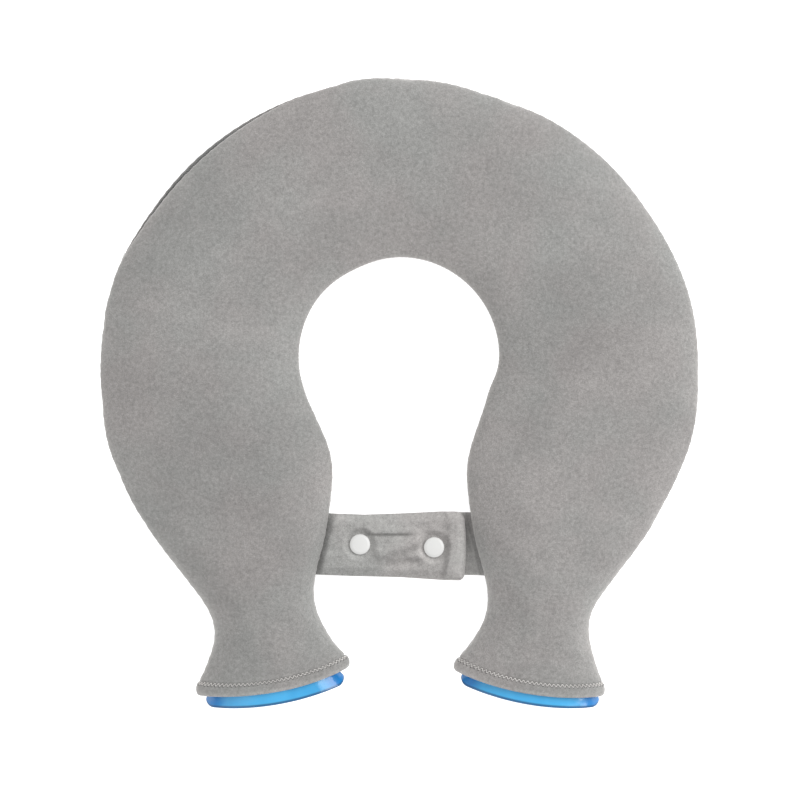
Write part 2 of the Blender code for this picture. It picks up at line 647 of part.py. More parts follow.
def build_slider(mat):
    """Slider of two plates round a bridge, with a bail on its face, and the tab in the bail."""
    axis = (0.0, RING_CENTRE_Y, SEAM_Z)
    first = SLIDER_ANGLE - SLIDER_SPAN / 2
    last = SLIDER_ANGLE + SLIDER_SPAN / 2
    plate = 0.0026
    web = 0.0004
    profile = [(-0.0029, -plate), (-0.0021, -plate), (-0.0021, -web), (0.0011, -web),
               (0.0011, -plate), (0.0020, -plate), (0.0020, plate), (0.0011, plate),
               (0.0011, web), (-0.0021, web), (-0.0021, plate), (-0.0029, plate)]
    slider = zip_band("zip_slider", first, last, SLIDER_SPAN, profile, mat, axis)

    per_metre = math.degrees(1.0 / ZIP_RADIUS)

    def on_zip(along, out, width):
        """Point of the slider: `along` runs back down the zip from the slider's middle."""
        return zip_point(SLIDER_ANGLE - along * per_metre, out, width)

    arch = [(-0.0022, 0.0018), (-0.0022, 0.0032), (-0.0016, 0.0039), (0.0016, 0.0039),
            (0.0022, 0.0032), (0.0022, 0.0018), (0.0016, 0.0018), (0.0016, 0.0032),
            (-0.0016, 0.0032), (-0.0016, 0.0018)]
    bm = bmesh.new()
    sections = [[on_zip(along, out, width) for along, out in arch] for width in (-0.0005, 0.0005)]
    rings = sweep_sections(bm, sections)
    bm.faces.new(rings[0])
    bm.faces.new(rings[-1])
    bail = add_object("bail_shape", bm, None, axis)
    bail.hide_render = True
    bail.display_type = "WIRE"
    join = slider.modifiers.new("bail", "BOOLEAN")
    join.operation = "UNION"
    join.object = bail

    pivot = on_zip(PULL_PIVOT_ALONG, PULL_PIVOT_OUT, 0.0)
    half_bar = 0.00035
    low = PULL_PIVOT_OUT - half_bar
    high = PULL_PIVOT_OUT + half_bar
    bar = PULL_PIVOT_ALONG
    outer = [(bar - half_bar, -0.0020), (bar + 0.0050, -0.0020), (bar + 0.0120, -0.0023),
             (bar + 0.0135, -0.0012), (bar + 0.0135, 0.0012), (bar + 0.0120, 0.0023),
             (bar + 0.0050, 0.0020), (bar - half_bar, 0.0020)]
    window = [(bar + half_bar, -0.0009), (bar + 0.0034, -0.0009), (bar + 0.0034, -0.0005),
              (bar + 0.0034, -0.0002), (bar + 0.0034, 0.0002), (bar + 0.0034, 0.0005),
              (bar + 0.0034, 0.0009), (bar + half_bar, 0.0009)]
    bm = bmesh.new()
    sections = [[flat_tab_point(along, out, width) for along, width in shape]
                for shape, out in ((outer, low), (outer, high), (window, high), (window, low))]
    rings = sweep_sections(bm, sections)
    close_tube(bm, rings)
    add_object("zip_pull_tab", bm, mat, pivot, smooth_angle=20.0)


def flat_tab_point(along, out, width):
    """Point of the flat pull tab, tangent to the zip at the middle of the slider."""
    turn = math.radians(SLIDER_ANGLE)
    radial = Vector((math.cos(turn), math.sin(turn), 0.0))
    back = Vector((math.sin(turn), -math.cos(turn), 0.0))
    up = Vector((0.0, 0.0, 1.0))
    face = radial * math.cos(ZIP_TILT) + up * math.sin(ZIP_TILT)
    across = up * math.cos(ZIP_TILT) - radial * math.sin(ZIP_TILT)
    middle = Vector((0.0, RING_CENTRE_Y, SEAM_Z)) + radial * ZIP_RADIUS
    return middle + back * along + face * out + across * width


# ---------------------------------------------------------------- assembly
def build():
    clear_scene()
    velvet = material("grey_velvet", (0.365, 0.358, 0.342), 0.95)
    pvc = material("blue_pvc", (0.075, 0.37, 0.78), 0.18, 0.85)
    bag = material("clear_blue_pvc", (0.16, 0.42, 0.72), 0.25, 0.8)
    hard = material("white_plastic", (0.82, 0.82, 0.81), 0.45)
    stopper = material("navy_plastic", (0.03, 0.13, 0.42), 0.35)
    rubber = material("white_rubber", (0.62, 0.63, 0.62), 0.7)
    tape = material("grey_tape", (0.20, 0.20, 0.19), 0.9)
    coil = material("dark_coil", (0.09, 0.09, 0.09), 0.5)
    slider = material("grey_slider", (0.26, 0.26, 0.25), 0.4)

    build_cover("cover_front", True, velvet)
    build_cover("cover_back", False, velvet)
    build_bag("bladder_front", True, bag)
    build_bag("bladder_back", False, bag)
    for label, side in (("left", -1), ("right", 1)):
        build_funnel(f"{label}_funnel", side, pvc)
        build_insert(f"{label}_threaded_insert", side, hard)
        build_stopper(f"{label}_stopper", side, stopper)
        build_washer(f"{label}_washer", side, rubber)

    upper = build_strap("strap_upper", -1, STRAP_UPPER_END_X, STRAP_UPPER_Z, velvet)
    lower = build_strap("strap_lower", 1, STRAP_LOWER_END_X, STRAP_LOWER_Z, velvet)
    build_snaps(hard, upper.location, lower.location)
    build_zip({"tape": tape, "coil": coil, "slider": slider})
    build_slider(slider)


build()
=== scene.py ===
"""Looks of the U-shaped neck hot-water pillow: velvet cover, strap, stitching, zip and plastics.

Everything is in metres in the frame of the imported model. The U lies in the XY plane, its two legs
point to -Y, the front panel faces +Z and the pillow rests on z = 0.
"""

import json
import math

import bmesh
import bpy
import numpy as np
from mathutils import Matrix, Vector
from mathutils.bvhtree import BVHTree


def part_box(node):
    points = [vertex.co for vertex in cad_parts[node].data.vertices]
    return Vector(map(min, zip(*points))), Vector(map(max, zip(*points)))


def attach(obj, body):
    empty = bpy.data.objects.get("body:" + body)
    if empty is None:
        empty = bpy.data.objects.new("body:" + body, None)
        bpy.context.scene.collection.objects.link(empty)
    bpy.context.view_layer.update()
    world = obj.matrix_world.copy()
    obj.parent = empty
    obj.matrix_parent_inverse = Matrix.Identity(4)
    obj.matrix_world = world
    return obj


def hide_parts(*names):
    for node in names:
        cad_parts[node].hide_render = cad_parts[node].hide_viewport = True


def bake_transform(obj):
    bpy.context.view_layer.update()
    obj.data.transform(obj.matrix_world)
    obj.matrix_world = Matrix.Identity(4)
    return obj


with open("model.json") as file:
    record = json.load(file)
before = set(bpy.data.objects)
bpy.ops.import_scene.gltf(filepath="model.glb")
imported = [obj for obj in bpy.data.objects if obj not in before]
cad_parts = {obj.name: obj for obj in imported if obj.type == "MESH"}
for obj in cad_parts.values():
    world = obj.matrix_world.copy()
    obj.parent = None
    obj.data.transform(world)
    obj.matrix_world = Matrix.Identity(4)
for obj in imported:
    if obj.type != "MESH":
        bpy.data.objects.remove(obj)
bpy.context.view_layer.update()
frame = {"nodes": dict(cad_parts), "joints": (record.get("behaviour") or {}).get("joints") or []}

MM = 0.001
PILLOW = "pillow"

# ---------------------------------------------------------------- dimensions of the soft pieces
STATION_STEP = 3.4 * MM           # between stations along the outer edge
PANEL_COLUMNS = 26                # intervals across a panel in the simulation
HEM_BOW = 7.2 * MM                # the hem bulges outwards in the middle
HEM_DEPTH = 6.3 * MM              # from the folded edge to the stitches
HEM_ROLL = 1.2 * MM               # radius of the folded edge
HEM_ANGLES = (22, 45, 68, 90, 112, 135, 158, 180)   # of the points round the folded edge
HEM_LAYERS = (0.25, 0.5, 0.72, 0.92)   # points of the layer folded inside, as shares of HEM_DEPTH
HEM_ROWS = len(HEM_ANGLES) + len(HEM_LAYERS)
# How much shorter each cuff is at its inner edge, middle and outer edge, in mm; below 0, longer.
HEM_TRIM = {"left": (0.9, 1.3, -0.8), "right": (-0.5, 0.9, -0.8)}
CORNER_RADIUS = 1.8 * MM          # of the hem, where it meets the seams
SEAM_ROLL = 0.9 * MM              # radius of the turned-in edge along the seam
SEAM_ANGLES = (25, 50, 75, 90)    # of the points round the turned-in edge
SEAM_TUCK = 2.2 * MM              # from the turned edge to the fabric's hidden end
SEAM_COLUMNS = len(SEAM_ANGLES) + 1
FULLNESS = 0.94                   # height of the cushion before it is inflated
CLOTH_FRAMES = 20
CLOTH_HELD = 12.0 * MM            # the simulation leaves the cuffs alone so near the hem
CLOTH_MOVES = (-0.5 * MM, 1.7 * MM)   # how far in and out the simulation may move a point
READ_DEPTH = 3.5 * MM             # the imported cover's outline is read this far below the seam,
BELOW_SEAM = 1.0 * MM             # where it is this much too small
READ_SHORT = 0.4 * MM             # and its last station is read this far before the hem
ZIP_FADE = 4.0                    # degrees over which the seam opens and closes beside the zip
ZIP_LIFT = 3.5 * MM               # each panel's edge is lifted this far off the seam there
ZIP_WINDOW = (105.0, 160.0)       # angles between which the zip shows from above
ZIP_SET_BACK = (0.9, 2.4)         # of the front panel all along, and more in mid-window, in mm
PUCKER_PITCH = 6.5 * MM           # between the stitches that pull the seam in
STITCH_PITCH = 2.6 * MM
STITCH_SWING = 0.95 * MM
THREAD_RADIUS = 0.30 * MM


# ---------------------------------------------------------------- frame facts
def joint(name):
    return next(item for item in frame["joints"] if item["name"] == name)


def flat(values):
    return np.array(values[:2], float)


RING_CENTRE = flat(joint("zip_slide")["pos_m"])
SEAM_Z = joint("zip_slide")["pos_m"][2]
TOP_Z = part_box("cover_front")[1].z
MOUTH = flat(joint("right_stopper_turn")["pos_m"])
MOUTH_AXIS = flat(joint("right_stopper_turn")["axis"])


def smooth_step(value):
    value = np.clip(value, 0.0, 1.0)
    return value * value * (3.0 - 2.0 * value)


def unit(vectors):
    return vectors / np.maximum(np.linalg.norm(vectors, axis=-1, keepdims=True), 1e-12)


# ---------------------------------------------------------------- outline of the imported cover
def cover_tree():
    mesh = frame["nodes"]["cover_back"].data
    return BVHTree.FromPolygons([v.co.copy() for v in mesh.vertices],
                                [tuple(p.vertices) for p in mesh.polygons])


def edge_at(tree, start, direction):
    """Where a level ray first meets the back panel, a little below the seam."""
    start = Vector((*start, SEAM_Z - READ_DEPTH))
    return flat(tree.ray_cast(start, Vector((*direction, 0.0)))[0])


def leg_path(start, heading, count):
    """Centres and headings from the end of the ring to the mouth, on one smooth curve."""
    reach = np.linalg.norm(MOUTH - start)
    centres, headings = [], []
    for u in np.linspace(0.0, 1.0, count + 1)[1:]:
        centre = ((2 * u**3 - 3 * u**2 + 1) * start + (u**3 - 2 * u**2 + u) * heading * reach
                  + (3 * u**2 - 2 * u**3) * MOUTH + (u**3 - u**2) * MOUTH_AXIS * reach)
        slope = ((6 * u**2 - 6 * u) * start + (3 * u**2 - 4 * u + 1) * heading * reach
                 + (6 * u - 6 * u**2) * MOUTH + (3 * u**2 - 2 * u) * MOUTH_AXIS * reach)
        centres.append(centre)
        headings.append(unit(slope))
    return centres, headings


def smoothed(points, passes=3):
    """Takes the flats of the facets out of an outline whose first point is on the middle line."""
    for _ in range(passes):
        inner = (points[:-2] + 2.0 * points[1:-1] + points[2:]) / 4.0
        points = np.vstack([points[:1], inner, points[-1:]])
    return points


def right_half():
    """Inner and outer edges and the distance to the hem, from the top to the right cuff."""
    tree = cover_tree()
    inner, outer, heading = [], [], []
    ring_end = -20.0
    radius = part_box("cover_back")[1].x
    steps = round(math.radians(90.0 - ring_end) * radius / STATION_STEP)
    for angle in np.radians(np.linspace(90.0, ring_end, steps + 1)):
        across = np.array([math.cos(angle), math.sin(angle)])
        inner.append(edge_at(tree, RING_CENTRE, across))
        outer.append(edge_at(tree, RING_CENTRE + 2 * radius * across, -across))
        heading.append(np.array([across[1], -across[0]]))
    start = (inner[-1] + outer[-1]) / 2
    reach = np.linalg.norm(MOUTH - start)
    centres, headings = leg_path(start, heading[-1], round(reach / STATION_STEP))
    for centre, along in zip(centres, headings):
        across = np.array([-along[1], along[0]])
        probe = centre if centre is not centres[-1] else centre - READ_SHORT * along
        inner.append(edge_at(tree, probe - across * (probe[0] / across[0]), across))
        outer.append(edge_at(tree, probe + radius * across, -across))
        heading.append(along)
    inner, outer = np.array(inner), np.array(outer)
    heading = np.array(heading)
    inner[-1] += READ_SHORT * heading[-1]
    outer[-1] += READ_SHORT * heading[-1]
    across = unit(outer - inner)
    inner, outer = smoothed(inner - BELOW_SEAM * across), smoothed(outer + BELOW_SEAM * across)
    middle = (inner + outer) / 2
    lengths = np.linalg.norm(np.diff(middle, axis=0), axis=1)
    to_hem = np.concatenate([np.cumsum(lengths[::-1])[::-1], [0.0]])
    return inner, outer, heading, to_hem


# A stuffed pillow is never quite even. Each bulge is (place along the middle of the U, counted from
# its top and negative to the left, reach along it, amount), in mm.
OUTER_BULGES = ((-15, 15, 1.1), (-153, 21, 2.1), (-206, 13, -0.9), (-267, 35, 0.7),
                (-352, 14, -2.0), (42, 19, -1.5), (162, 25, 1.4), (280, 20, 0.8), (325, 35, 1.1),
                (372, 22, 2.4), (380, 7, 1.2), (-380, 7, 1.6))
INNER_BULGES = ((-46, 34, 1.2), (-222, 20, -0.5), (-257, 14, 0.8), (-300, 80, 0.9), (-364, 16, 1.9),
                (-380, 9, 4.2), (206, 22, 2.0), (238, 28, 1.3), (350, 20, -2.0), (379, 7, 1.2))


def uneven(places, bulges):
    return sum(amount * MM * np.exp(-((places / MM - middle) / reach) ** 2)
               for middle, reach, amount in bulges)[:, None]


def both_halves():
    """The same arrays for the whole U, from the left cuff over the top to the right cuff."""
    inner, outer, heading, to_hem = right_half()
    mirror = np.array([-1.0, 1.0])
    inner, outer, heading = [np.vstack([(part * mirror)[:0:-1], part])
                             for part in (inner, outer, heading)]
    from_top = to_hem[0] - to_hem
    places = np.concatenate([-from_top[:0:-1], from_top])
    across = unit(outer - inner)
    inner = inner - across * uneven(places, INNER_BULGES)
    outer = outer + across * uneven(places, OUTER_BULGES)
    return inner, outer, heading, np.concatenate([to_hem[:0:-1], to_hem])


def turn_from_centre(points):
    """Angle of each point round the ring's centre, from -90 on the right leg to 270 on the left."""
    away = points - RING_CENTRE
    angle = np.degrees(np.arctan2(away[:, 1], away[:, 0]))
    return np.where(angle < -90.0, angle + 360.0, angle)


INNER, OUTER, HEADING, TO_HEM = both_halves()
STATIONS = len(INNER)


def zip_angles():
    """First and last angle of the zip's coils round the ring's centre, in degrees."""
    points = np.array([v.co[:2] for v in frame["nodes"]["zip_coil_front"].data.vertices])
    around = np.degrees(np.arctan2(*(points - RING_CENTRE).T[::-1]))
    return around.min(), around.max()


ZIP_LOW, ZIP_HIGH = zip_angles()


# ---------------------------------------------------------------- mesh helpers
def resample(rows, places):
    """Smooth curve through rows[0], rows[1], ... read at fractional places."""
    last = len(rows) - 1
    places = np.asarray(places, float)
    k = np.clip(places.astype(int), 0, last - 1)
    u = (places - k).reshape(-1, *([1] * (rows.ndim - 1)))
    before = np.where(k.reshape(u.shape) > 0, rows[np.maximum(k - 1, 0)], 2 * rows[k] - rows[k + 1])
    after = np.where(k.reshape(u.shape) + 2 <= last, rows[np.minimum(k + 2, last)],
                     2 * rows[k + 1] - rows[k])
    start, end = rows[k], rows[k + 1]
    return 0.5 * (2 * start + (end - before) * u + (2 * before - 5 * start + 4 * end - after) * u**2
                  + (3 * start - before - 3 * end + after) * u**3)


def grid_normals(grid):
    return unit(np.cross(np.gradient(grid, axis=1), np.gradient(grid, axis=0)))


def grid_mesh(name, grid, close_columns=False, flip=False, **shades):
    """A mesh of quads over a grid of points, rows by columns, with one shade per point each."""
    rows, columns = grid.shape[:2]
    index = np.arange(rows * columns).reshape(rows, columns)
    if close_columns:
        index = np.hstack([index, index[:, :1]])
    quads = np.stack([index[:-1, :-1], index[:-1, 1:], index[1:, 1:], index[1:, :-1]], axis=-1)
    quads = quads.reshape(-1, 4)
    if flip:
        quads = quads[:, ::-1]
    mesh = bpy.data.meshes.new(name)
    mesh.from_pydata(grid.reshape(-1, 3).tolist(), [], quads.tolist())
    for shade, values in shades.items():
        values = np.broadcast_to(values, grid.shape[:2]).ravel()
        mesh.attributes.new(shade, "FLOAT", "POINT").data.foreach_set("value", values)
    mesh.shade_smooth()
    mesh.update()
    return mesh


def add_piece(name, mesh, body, material, slot, *nodes):
    piece = bpy.data.objects.new(name, mesh)
    bpy.context.scene.collection.objects.link(piece)
    piece.data.materials.append(material)
    if body:
        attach(piece, body)
    if nodes:
        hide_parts(*nodes)
    return piece


# ---------------------------------------------------------------- materials
def new_material(name):
    made = bpy.data.materials.new(name)
    made.use_nodes = True
    nodes = made.node_tree.nodes
    return made, nodes, made.node_tree.links, nodes["Principled BSDF"]


def tune(node, **values):
    """Sets inputs of a node; an underscore stands for a space in an input's name."""
    for name, value in values.items():
        node.inputs[name.replace("_", " ")].default_value = value


def noise(nodes, links, scale, detail=2.0, roughness=0.5, stretch=(1.0, 1.0, 1.0), offset=0.0):
    """Noise in the object's own metres; `scale` is features per metre."""
    place = nodes.new("ShaderNodeTexCoord")
    mapping = nodes.new("ShaderNodeMapping")
    tune(mapping, Scale=stretch, Location=(offset, offset, offset))
    links.new(place.outputs["Object"], mapping.inputs["Vector"])
    texture = nodes.new("ShaderNodeTexNoise")
    tune(texture, Scale=scale, Detail=detail, Roughness=roughness)
    links.new(mapping.outputs["Vector"], texture.inputs["Vector"])
    return texture.outputs["Fac"]


def ramp(nodes, links, value, stops):
    made = nodes.new("ShaderNodeValToRGB")
    elements = made.color_ramp.elements
    elements[0].position, elements[0].color = stops[0][0], (*stops[0][1], 1.0)
    elements[1].position, elements[1].color = stops[-1][0], (*stops[-1][1], 1.0)
    for position, colour in stops[1:-1]:
        elements.new(position).color = (*colour, 1.0)
    links.new(value, made.inputs["Fac"])
    return made.outputs["Color"]


def mix(nodes, links, kind, factor, first, second):
    made = nodes.new("ShaderNodeMix")
    made.data_type = "RGBA"
    made.blend_type = kind
    if isinstance(factor, float):
        made.inputs[0].default_value = factor
    else:
        links.new(factor, made.inputs[0])
    links.new(first, made.inputs[6])
    links.new(second, made.inputs[7])
    return made.outputs[2]


def bump(nodes, links, layers):
    """Stacks bump layers of (height, strength, distance) and returns the last normal."""
    normal = None
    for height, strength, distance in layers:
        made = nodes.new("ShaderNodeBump")
        tune(made, Strength=strength, Distance=distance)
        links.new(height, made.inputs["Height"])
        if normal is not None:
            links.new(normal, made.inputs["Normal"])
        normal = made.outputs["Normal"]
    return normal


def attribute(nodes, name):
    made = nodes.new("ShaderNodeAttribute")
    made.attribute_name = name
    return made.outputs["Fac"]


def velvet(name, tone, nap=False):
    """Short-pile velvet: fine grain, patches brushed lighter and darker, a painted sheen that
    lightens folds and edges, and the shader's own sheen.

    With its flag, painted highlight and shade also make the pile lighter where a fold turns it up
    and darker where it turns away.
    """
    made, nodes, links, shader = new_material(name)
    warm = (0.260 * tone, 0.249 * tone, 0.243 * tone)
    cool = (0.243 * tone, 0.243 * tone, 0.236 * tone)
    colour = ramp(nodes, links, noise(nodes, links, 16.0, 3.0, 0.55), [(0.38, cool), (0.62, warm)])
    brushed = noise(nodes, links, 11.0, 5.0, 0.62, (1.0, 1.3, 1.0), 3.1)
    clumps = noise(nodes, links, 480.0, 2.0, 0.75)
    pile = noise(nodes, links, 1700.0, 2.0, 0.7)
    # the fourth shade, read from an attribute, is painted sheen: up to 42% lighter at folds, seams
    # and edges
    shades = [(brushed, (0.32, 0.90), (0.68, 1.09)), (clumps, (0.28, 0.83), (0.72, 1.17)),
              (pile, (0.28, 0.80), (0.72, 1.20)),
              (attribute(nodes, "worn"), (0.0, 1.0), (1.0, 1.42))]
    # painted fold shade: a painted highlight and shade from how each fold faces the light
    if nap:
        shades.append((attribute(nodes, "nap"), (0.0, 0.66), (0.5, 1.0), (1.0, 1.34)))
    for value, *stops in shades:
        greys = [(position, (grey, grey, grey)) for position, grey in stops]
        colour = mix(nodes, links, "MULTIPLY", 1.0, colour, ramp(nodes, links, value, greys))
    links.new(colour, shader.inputs["Base Color"])
    normal = bump(nodes, links, [(noise(nodes, links, 70.0, 3.0), 0.30, 1.0 * MM),
                                 (clumps, 0.40, 0.5 * MM), (pile, 0.55, 0.3 * MM)])
    links.new(normal, shader.inputs["Normal"])
    tune(shader, Roughness=0.95, Specular_IOR_Level=0.12, Sheen_Weight=0.75, Sheen_Roughness=0.35,
         Sheen_Tint=(0.96, 0.94, 0.92, 1.0))
    return made


def blue_pvc(name):
    """Soft blue PVC: light blue with flow marks, and painted shade that turns it deeper blue
    towards the ends of the oval and dark at the rim.
    """
    made, nodes, links, shader = new_material(name)
    flow = ramp(nodes, links, noise(nodes, links, 60.0, 2.0, 0.5, (1.0, 0.4, 1.0)),
                [(0.35, (0.026, 0.300, 0.610)), (0.65, (0.050, 0.375, 0.700))])
    # painted shade: a deeper blue at the oval's ends, where the wall is seen edge-on, and a dark
    # painted outline at the rim
    deep = nodes.new("ShaderNodeRGB")
    deep.outputs[0].default_value = (0.006, 0.180, 0.500, 1.0)
    rim = nodes.new("ShaderNodeRGB")
    rim.outputs[0].default_value = (0.006, 0.075, 0.190, 1.0)
    colour = mix(nodes, links, "MIX", attribute(nodes, "ends"), flow, deep.outputs[0])
    colour = mix(nodes, links, "MIX", attribute(nodes, "rim"), colour, rim.outputs[0])
    links.new(colour, shader.inputs["Base Color"])
    fine = noise(nodes, links, 350.0, 2.0)
    wavy = noise(nodes, links, 75.0, 2.0, 0.5, (1.0, 1.0, 1.0), 5.0)
    normal = bump(nodes, links, [(wavy, 0.45, 2.0 * MM), (fine, 0.06, 0.3 * MM)])
    links.new(normal, shader.inputs["Normal"])
    tune(shader, Roughness=0.20, Coat_Weight=0.12, Coat_Roughness=0.06)
    return made


def plastic(name, colour, roughness, variation=0.08, grain=900.0, grain_depth=0.02, coat=0.0,
            transmission=0.0):
    """Moulded plastic with faint flow marks and a fine surface grain."""
    made, nodes, links, shader = new_material(name)
    darker = tuple(part * (1.0 - variation) for part in colour)
    lighter = tuple(min(1.0, part * (1.0 + variation)) for part in colour)
    tint = ramp(nodes, links, noise(nodes, links, 45.0, 3.0), [(0.35, darker), (0.65, lighter)])
    links.new(tint, shader.inputs["Base Color"])
    fine = noise(nodes, links, grain, 3.0)
    rough = nodes.new("ShaderNodeMapRange")
    tune(rough, To_Min=max(0.02, roughness - 0.06), To_Max=roughness + 0.06)
    links.new(fine, rough.inputs["Value"])
    links.new(rough.outputs["Result"], shader.inputs["Roughness"])
    links.new(bump(nodes, links, [(fine, grain_depth, 0.2 * MM)]), shader.inputs["Normal"])
    tune(shader, Coat_Weight=coat, Coat_Roughness=0.08, Transmission_Weight=transmission)
    return made


def woven(name, colour, pitch):
    """Woven tape: two crossing sets of ribs."""
    made, nodes, links, shader = new_material(name)
    place = nodes.new("ShaderNodeTexCoord")
    waves = []
    for direction in ("X", "Z"):
        wave = nodes.new("ShaderNodeTexWave")
        wave.bands_direction = direction
        tune(wave, Scale=1.0 / pitch / 6.28, Distortion=0.6)
        links.new(place.outputs["Object"], wave.inputs["Vector"])
        waves.append(wave.outputs["Fac"])
    join = nodes.new("ShaderNodeMath")
    join.operation = "MAXIMUM"
    links.new(waves[0], join.inputs[0])
    links.new(waves[1], join.inputs[1])
    dark = tuple(part * 0.7 for part in colour)
    links.new(ramp(nodes, links, join.outputs[0], [(0.2, dark), (0.9, colour)]),
              shader.inputs["Base Color"])
    links.new(bump(nodes, links, [(join.outputs[0], 0.5, 0.2 * MM)]), shader.inputs["Normal"])
    tune(shader, Roughness=0.9)
    return made


VELVET = velvet("velvet", 1.0)
# the straps' velvet is the cover's velvet painted 22% lighter, a painted lightening, and also
# carries the painted fold shade
STRAP_VELVET = velvet("strap_velvet", 1.22, nap=True)


# ---------------------------------------------------------------- cover: simulated panels
def panel_places(columns):
    return -np.cos(np.pi * np.arange(columns + 1) / columns)


def dome(v):
    """Cross-section of the stuffed U, from -1 at the inner seam to 1 at the outer seam."""
    return np.sqrt(np.maximum(0.0, 1.0 - np.abs(v) ** 2.4))


def start_panel(front):
    """One panel before the simulation, stations by columns, inner seam to outer seam."""
    v = panel_places(PANEL_COLUMNS)
    share = (v + 1.0) / 2.0
    plan = INNER[:, None, :] + (OUTER - INNER)[:, None, :] * share[None, :, None]
    near_hem = smooth_step(1.0 - TO_HEM / (42.0 * MM))
    plan = plan + HEADING[:, None, :] * (HEM_BOW * near_hem[:, None] * (1.0 - v**2))[:, :, None]
    rise = TOP_Z - SEAM_Z
    profile = dome(v) if front else np.minimum(1.0, 1.06 * dome(v))
    full = FULLNESS + (1.0 - FULLNESS) * near_hem[:, None]
    height = rise * profile[None, :] * full
    height = SEAM_Z + (height if front else -height)
    return np.dstack([plan, height])


def simulate(grids):
    """Inflates the two panels, sewn together along both seams, and returns them again."""
    front, back = grids
    loop = np.concatenate([front, back[:, -2:0:-1]], axis=1)
    columns = loop.shape[1]
    mesh = grid_mesh("cover_cloth", loop, close_columns=True, flip=True)
    cloth = bpy.data.objects.new("cover_cloth", mesh)
    bpy.context.scene.collection.objects.link(cloth)
    group = cloth.vertex_groups.new(name="sewn")
    index = np.arange(loop.shape[0] * columns).reshape(loop.shape[0], columns)
    held = TO_HEM < CLOTH_HELD
    sewn = set(index[:, 0]) | set(index[:, PANEL_COLUMNS]) | set(index[held].ravel())
    group.add([int(k) for k in sewn], 1.0, "REPLACE")
    modifier = cloth.modifiers.new("cloth", "CLOTH")
    settings = modifier.settings
    settings.quality = 5
    settings.mass = 0.3
    settings.tension_stiffness = 15.0
    settings.compression_stiffness = 15.0
    settings.shear_stiffness = 5.0
    settings.bending_stiffness = 3.0
    settings.use_pressure = True
    settings.uniform_pressure_force = 4.0
    settings.vertex_group_mass = "sewn"
    settings.shrink_min = -0.012
    settings.effector_weights.gravity = 0.0
    modifier.collision_settings.use_collision = False
    modifier.point_cache.frame_start = 1
    modifier.point_cache.frame_end = CLOTH_FRAMES
    for step in range(1, CLOTH_FRAMES + 1):
        bpy.context.scene.frame_set(step)
    shaped = cloth.evaluated_get(bpy.context.evaluated_depsgraph_get())
    moved = np.empty(len(mesh.vertices) * 3)
    shaped.data.vertices.foreach_get("co", moved)
    moved = moved.reshape(loop.shape)
    bpy.data.objects.remove(cloth)
    bpy.context.scene.frame_set(1)
    new_front = moved[:, :PANEL_COLUMNS + 1]
    new_back = np.concatenate([moved[:, :1], moved[:, :PANEL_COLUMNS - 1:-1]], axis=1)
    return settled(front, new_front, 1.0), settled(back, new_back, -1.0)


def settled(grid, moved, up):
    """A panel moved along its own normals as the simulation moved it, within CLOTH_MOVES."""
    normals = grid_normals(grid)
    normals = normals * up * np.sign(normals[len(normals) // 2, PANEL_COLUMNS // 2, 2])
    reach = np.clip(np.sum((moved - grid) * normals, axis=-1), *CLOTH_MOVES)
    for _ in range(2):
        padded = np.pad(reach, 1, mode="edge")
        reach = (padded[:-2, 1:-1] + padded[2:, 1:-1] + padded[1:-1, :-2] + padded[1:-1, 2:]
                 + 4.0 * reach) / 8.0
    return grid + normals * reach[:, :, None]


def open_for_zip(grid, front):
    """Lifts a panel's outer edge clear of the zip and sets the front one back above it."""
    angle = turn_from_centre(OUTER)
    opening = (smooth_step((angle - ZIP_LOW + ZIP_FADE) / ZIP_FADE)
               * smooth_step((ZIP_HIGH + ZIP_FADE - angle) / ZIP_FADE))
    first, last = ZIP_WINDOW
    window = np.clip((angle - first) / (last - first), 0.0, 1.0)
    everywhere, midway = ZIP_SET_BACK
    recess = opening * (everywhere + midway * np.sin(np.pi * window) ** 1.4) * MM
    share = (panel_places(grid.shape[1] - 1) + 1.0) / 2.0
    rise = TOP_Z - SEAM_Z
    low = 1.0 - np.clip(np.abs(grid[:, :, 2] - SEAM_Z) / rise, 0.0, 1.0)
    lift = ZIP_LIFT * opening[:, None] * smooth_step(2.0 * share - 1.0) * low
    grid = grid.copy()
    grid[:, :, 2] += lift if front else -lift
    if front:
        inwards = unit(INNER - OUTER)
        grid[:, :, :2] += inwards[:, None, :] * (recess[:, None] * share**2)[:, :, None]
    return grid


def fine_rows():
    """Places along the stations: every half station, and every 0.6 mm within reach of the hems."""
    near = int(np.searchsorted(TO_HEM[: STATIONS // 2], 15.0 * MM))
    hem = np.arange(0.0, near, 0.6 * MM / (TO_HEM[1] - TO_HEM[0]))
    middle = np.arange(near, STATIONS - 1 - near + 0.01, 0.5)
    return np.concatenate([hem, middle, STATIONS - 1 - hem[::-1]])


def folds(rows_along, shares, front):
    """Slack in the fabric of the legs: a few soft folds that run out of the cuffs."""
    v = 2.0 * shares - 1.0
    side = 1.0 if front else 0.6
    wave = (0.55 * np.cos(9.5 * v + 0.8) + 0.45 * np.cos(15.0 * v + 2.1)) * (1.0 - v**2)
    fade = np.exp(-((rows_along - 30.0 * MM) / (24.0 * MM)) ** 2)
    return side * 0.55 * MM * fade[:, None] * wave[None, :]


def drawn_back(grid, along, distance):
    """Moves every point along its own column, by `distance` away from the nearer hem."""
    half = len(along) // 2
    moved = grid.copy()
    for rows in (slice(0, half), slice(len(along) - 1, half, -1)):
        for column in range(grid.shape[1]):
            wanted = along[rows] + distance[rows, column]
            for axis in range(3):
                moved[rows, column, axis] = np.interp(wanted, along[rows], grid[rows, column, axis])
    return moved


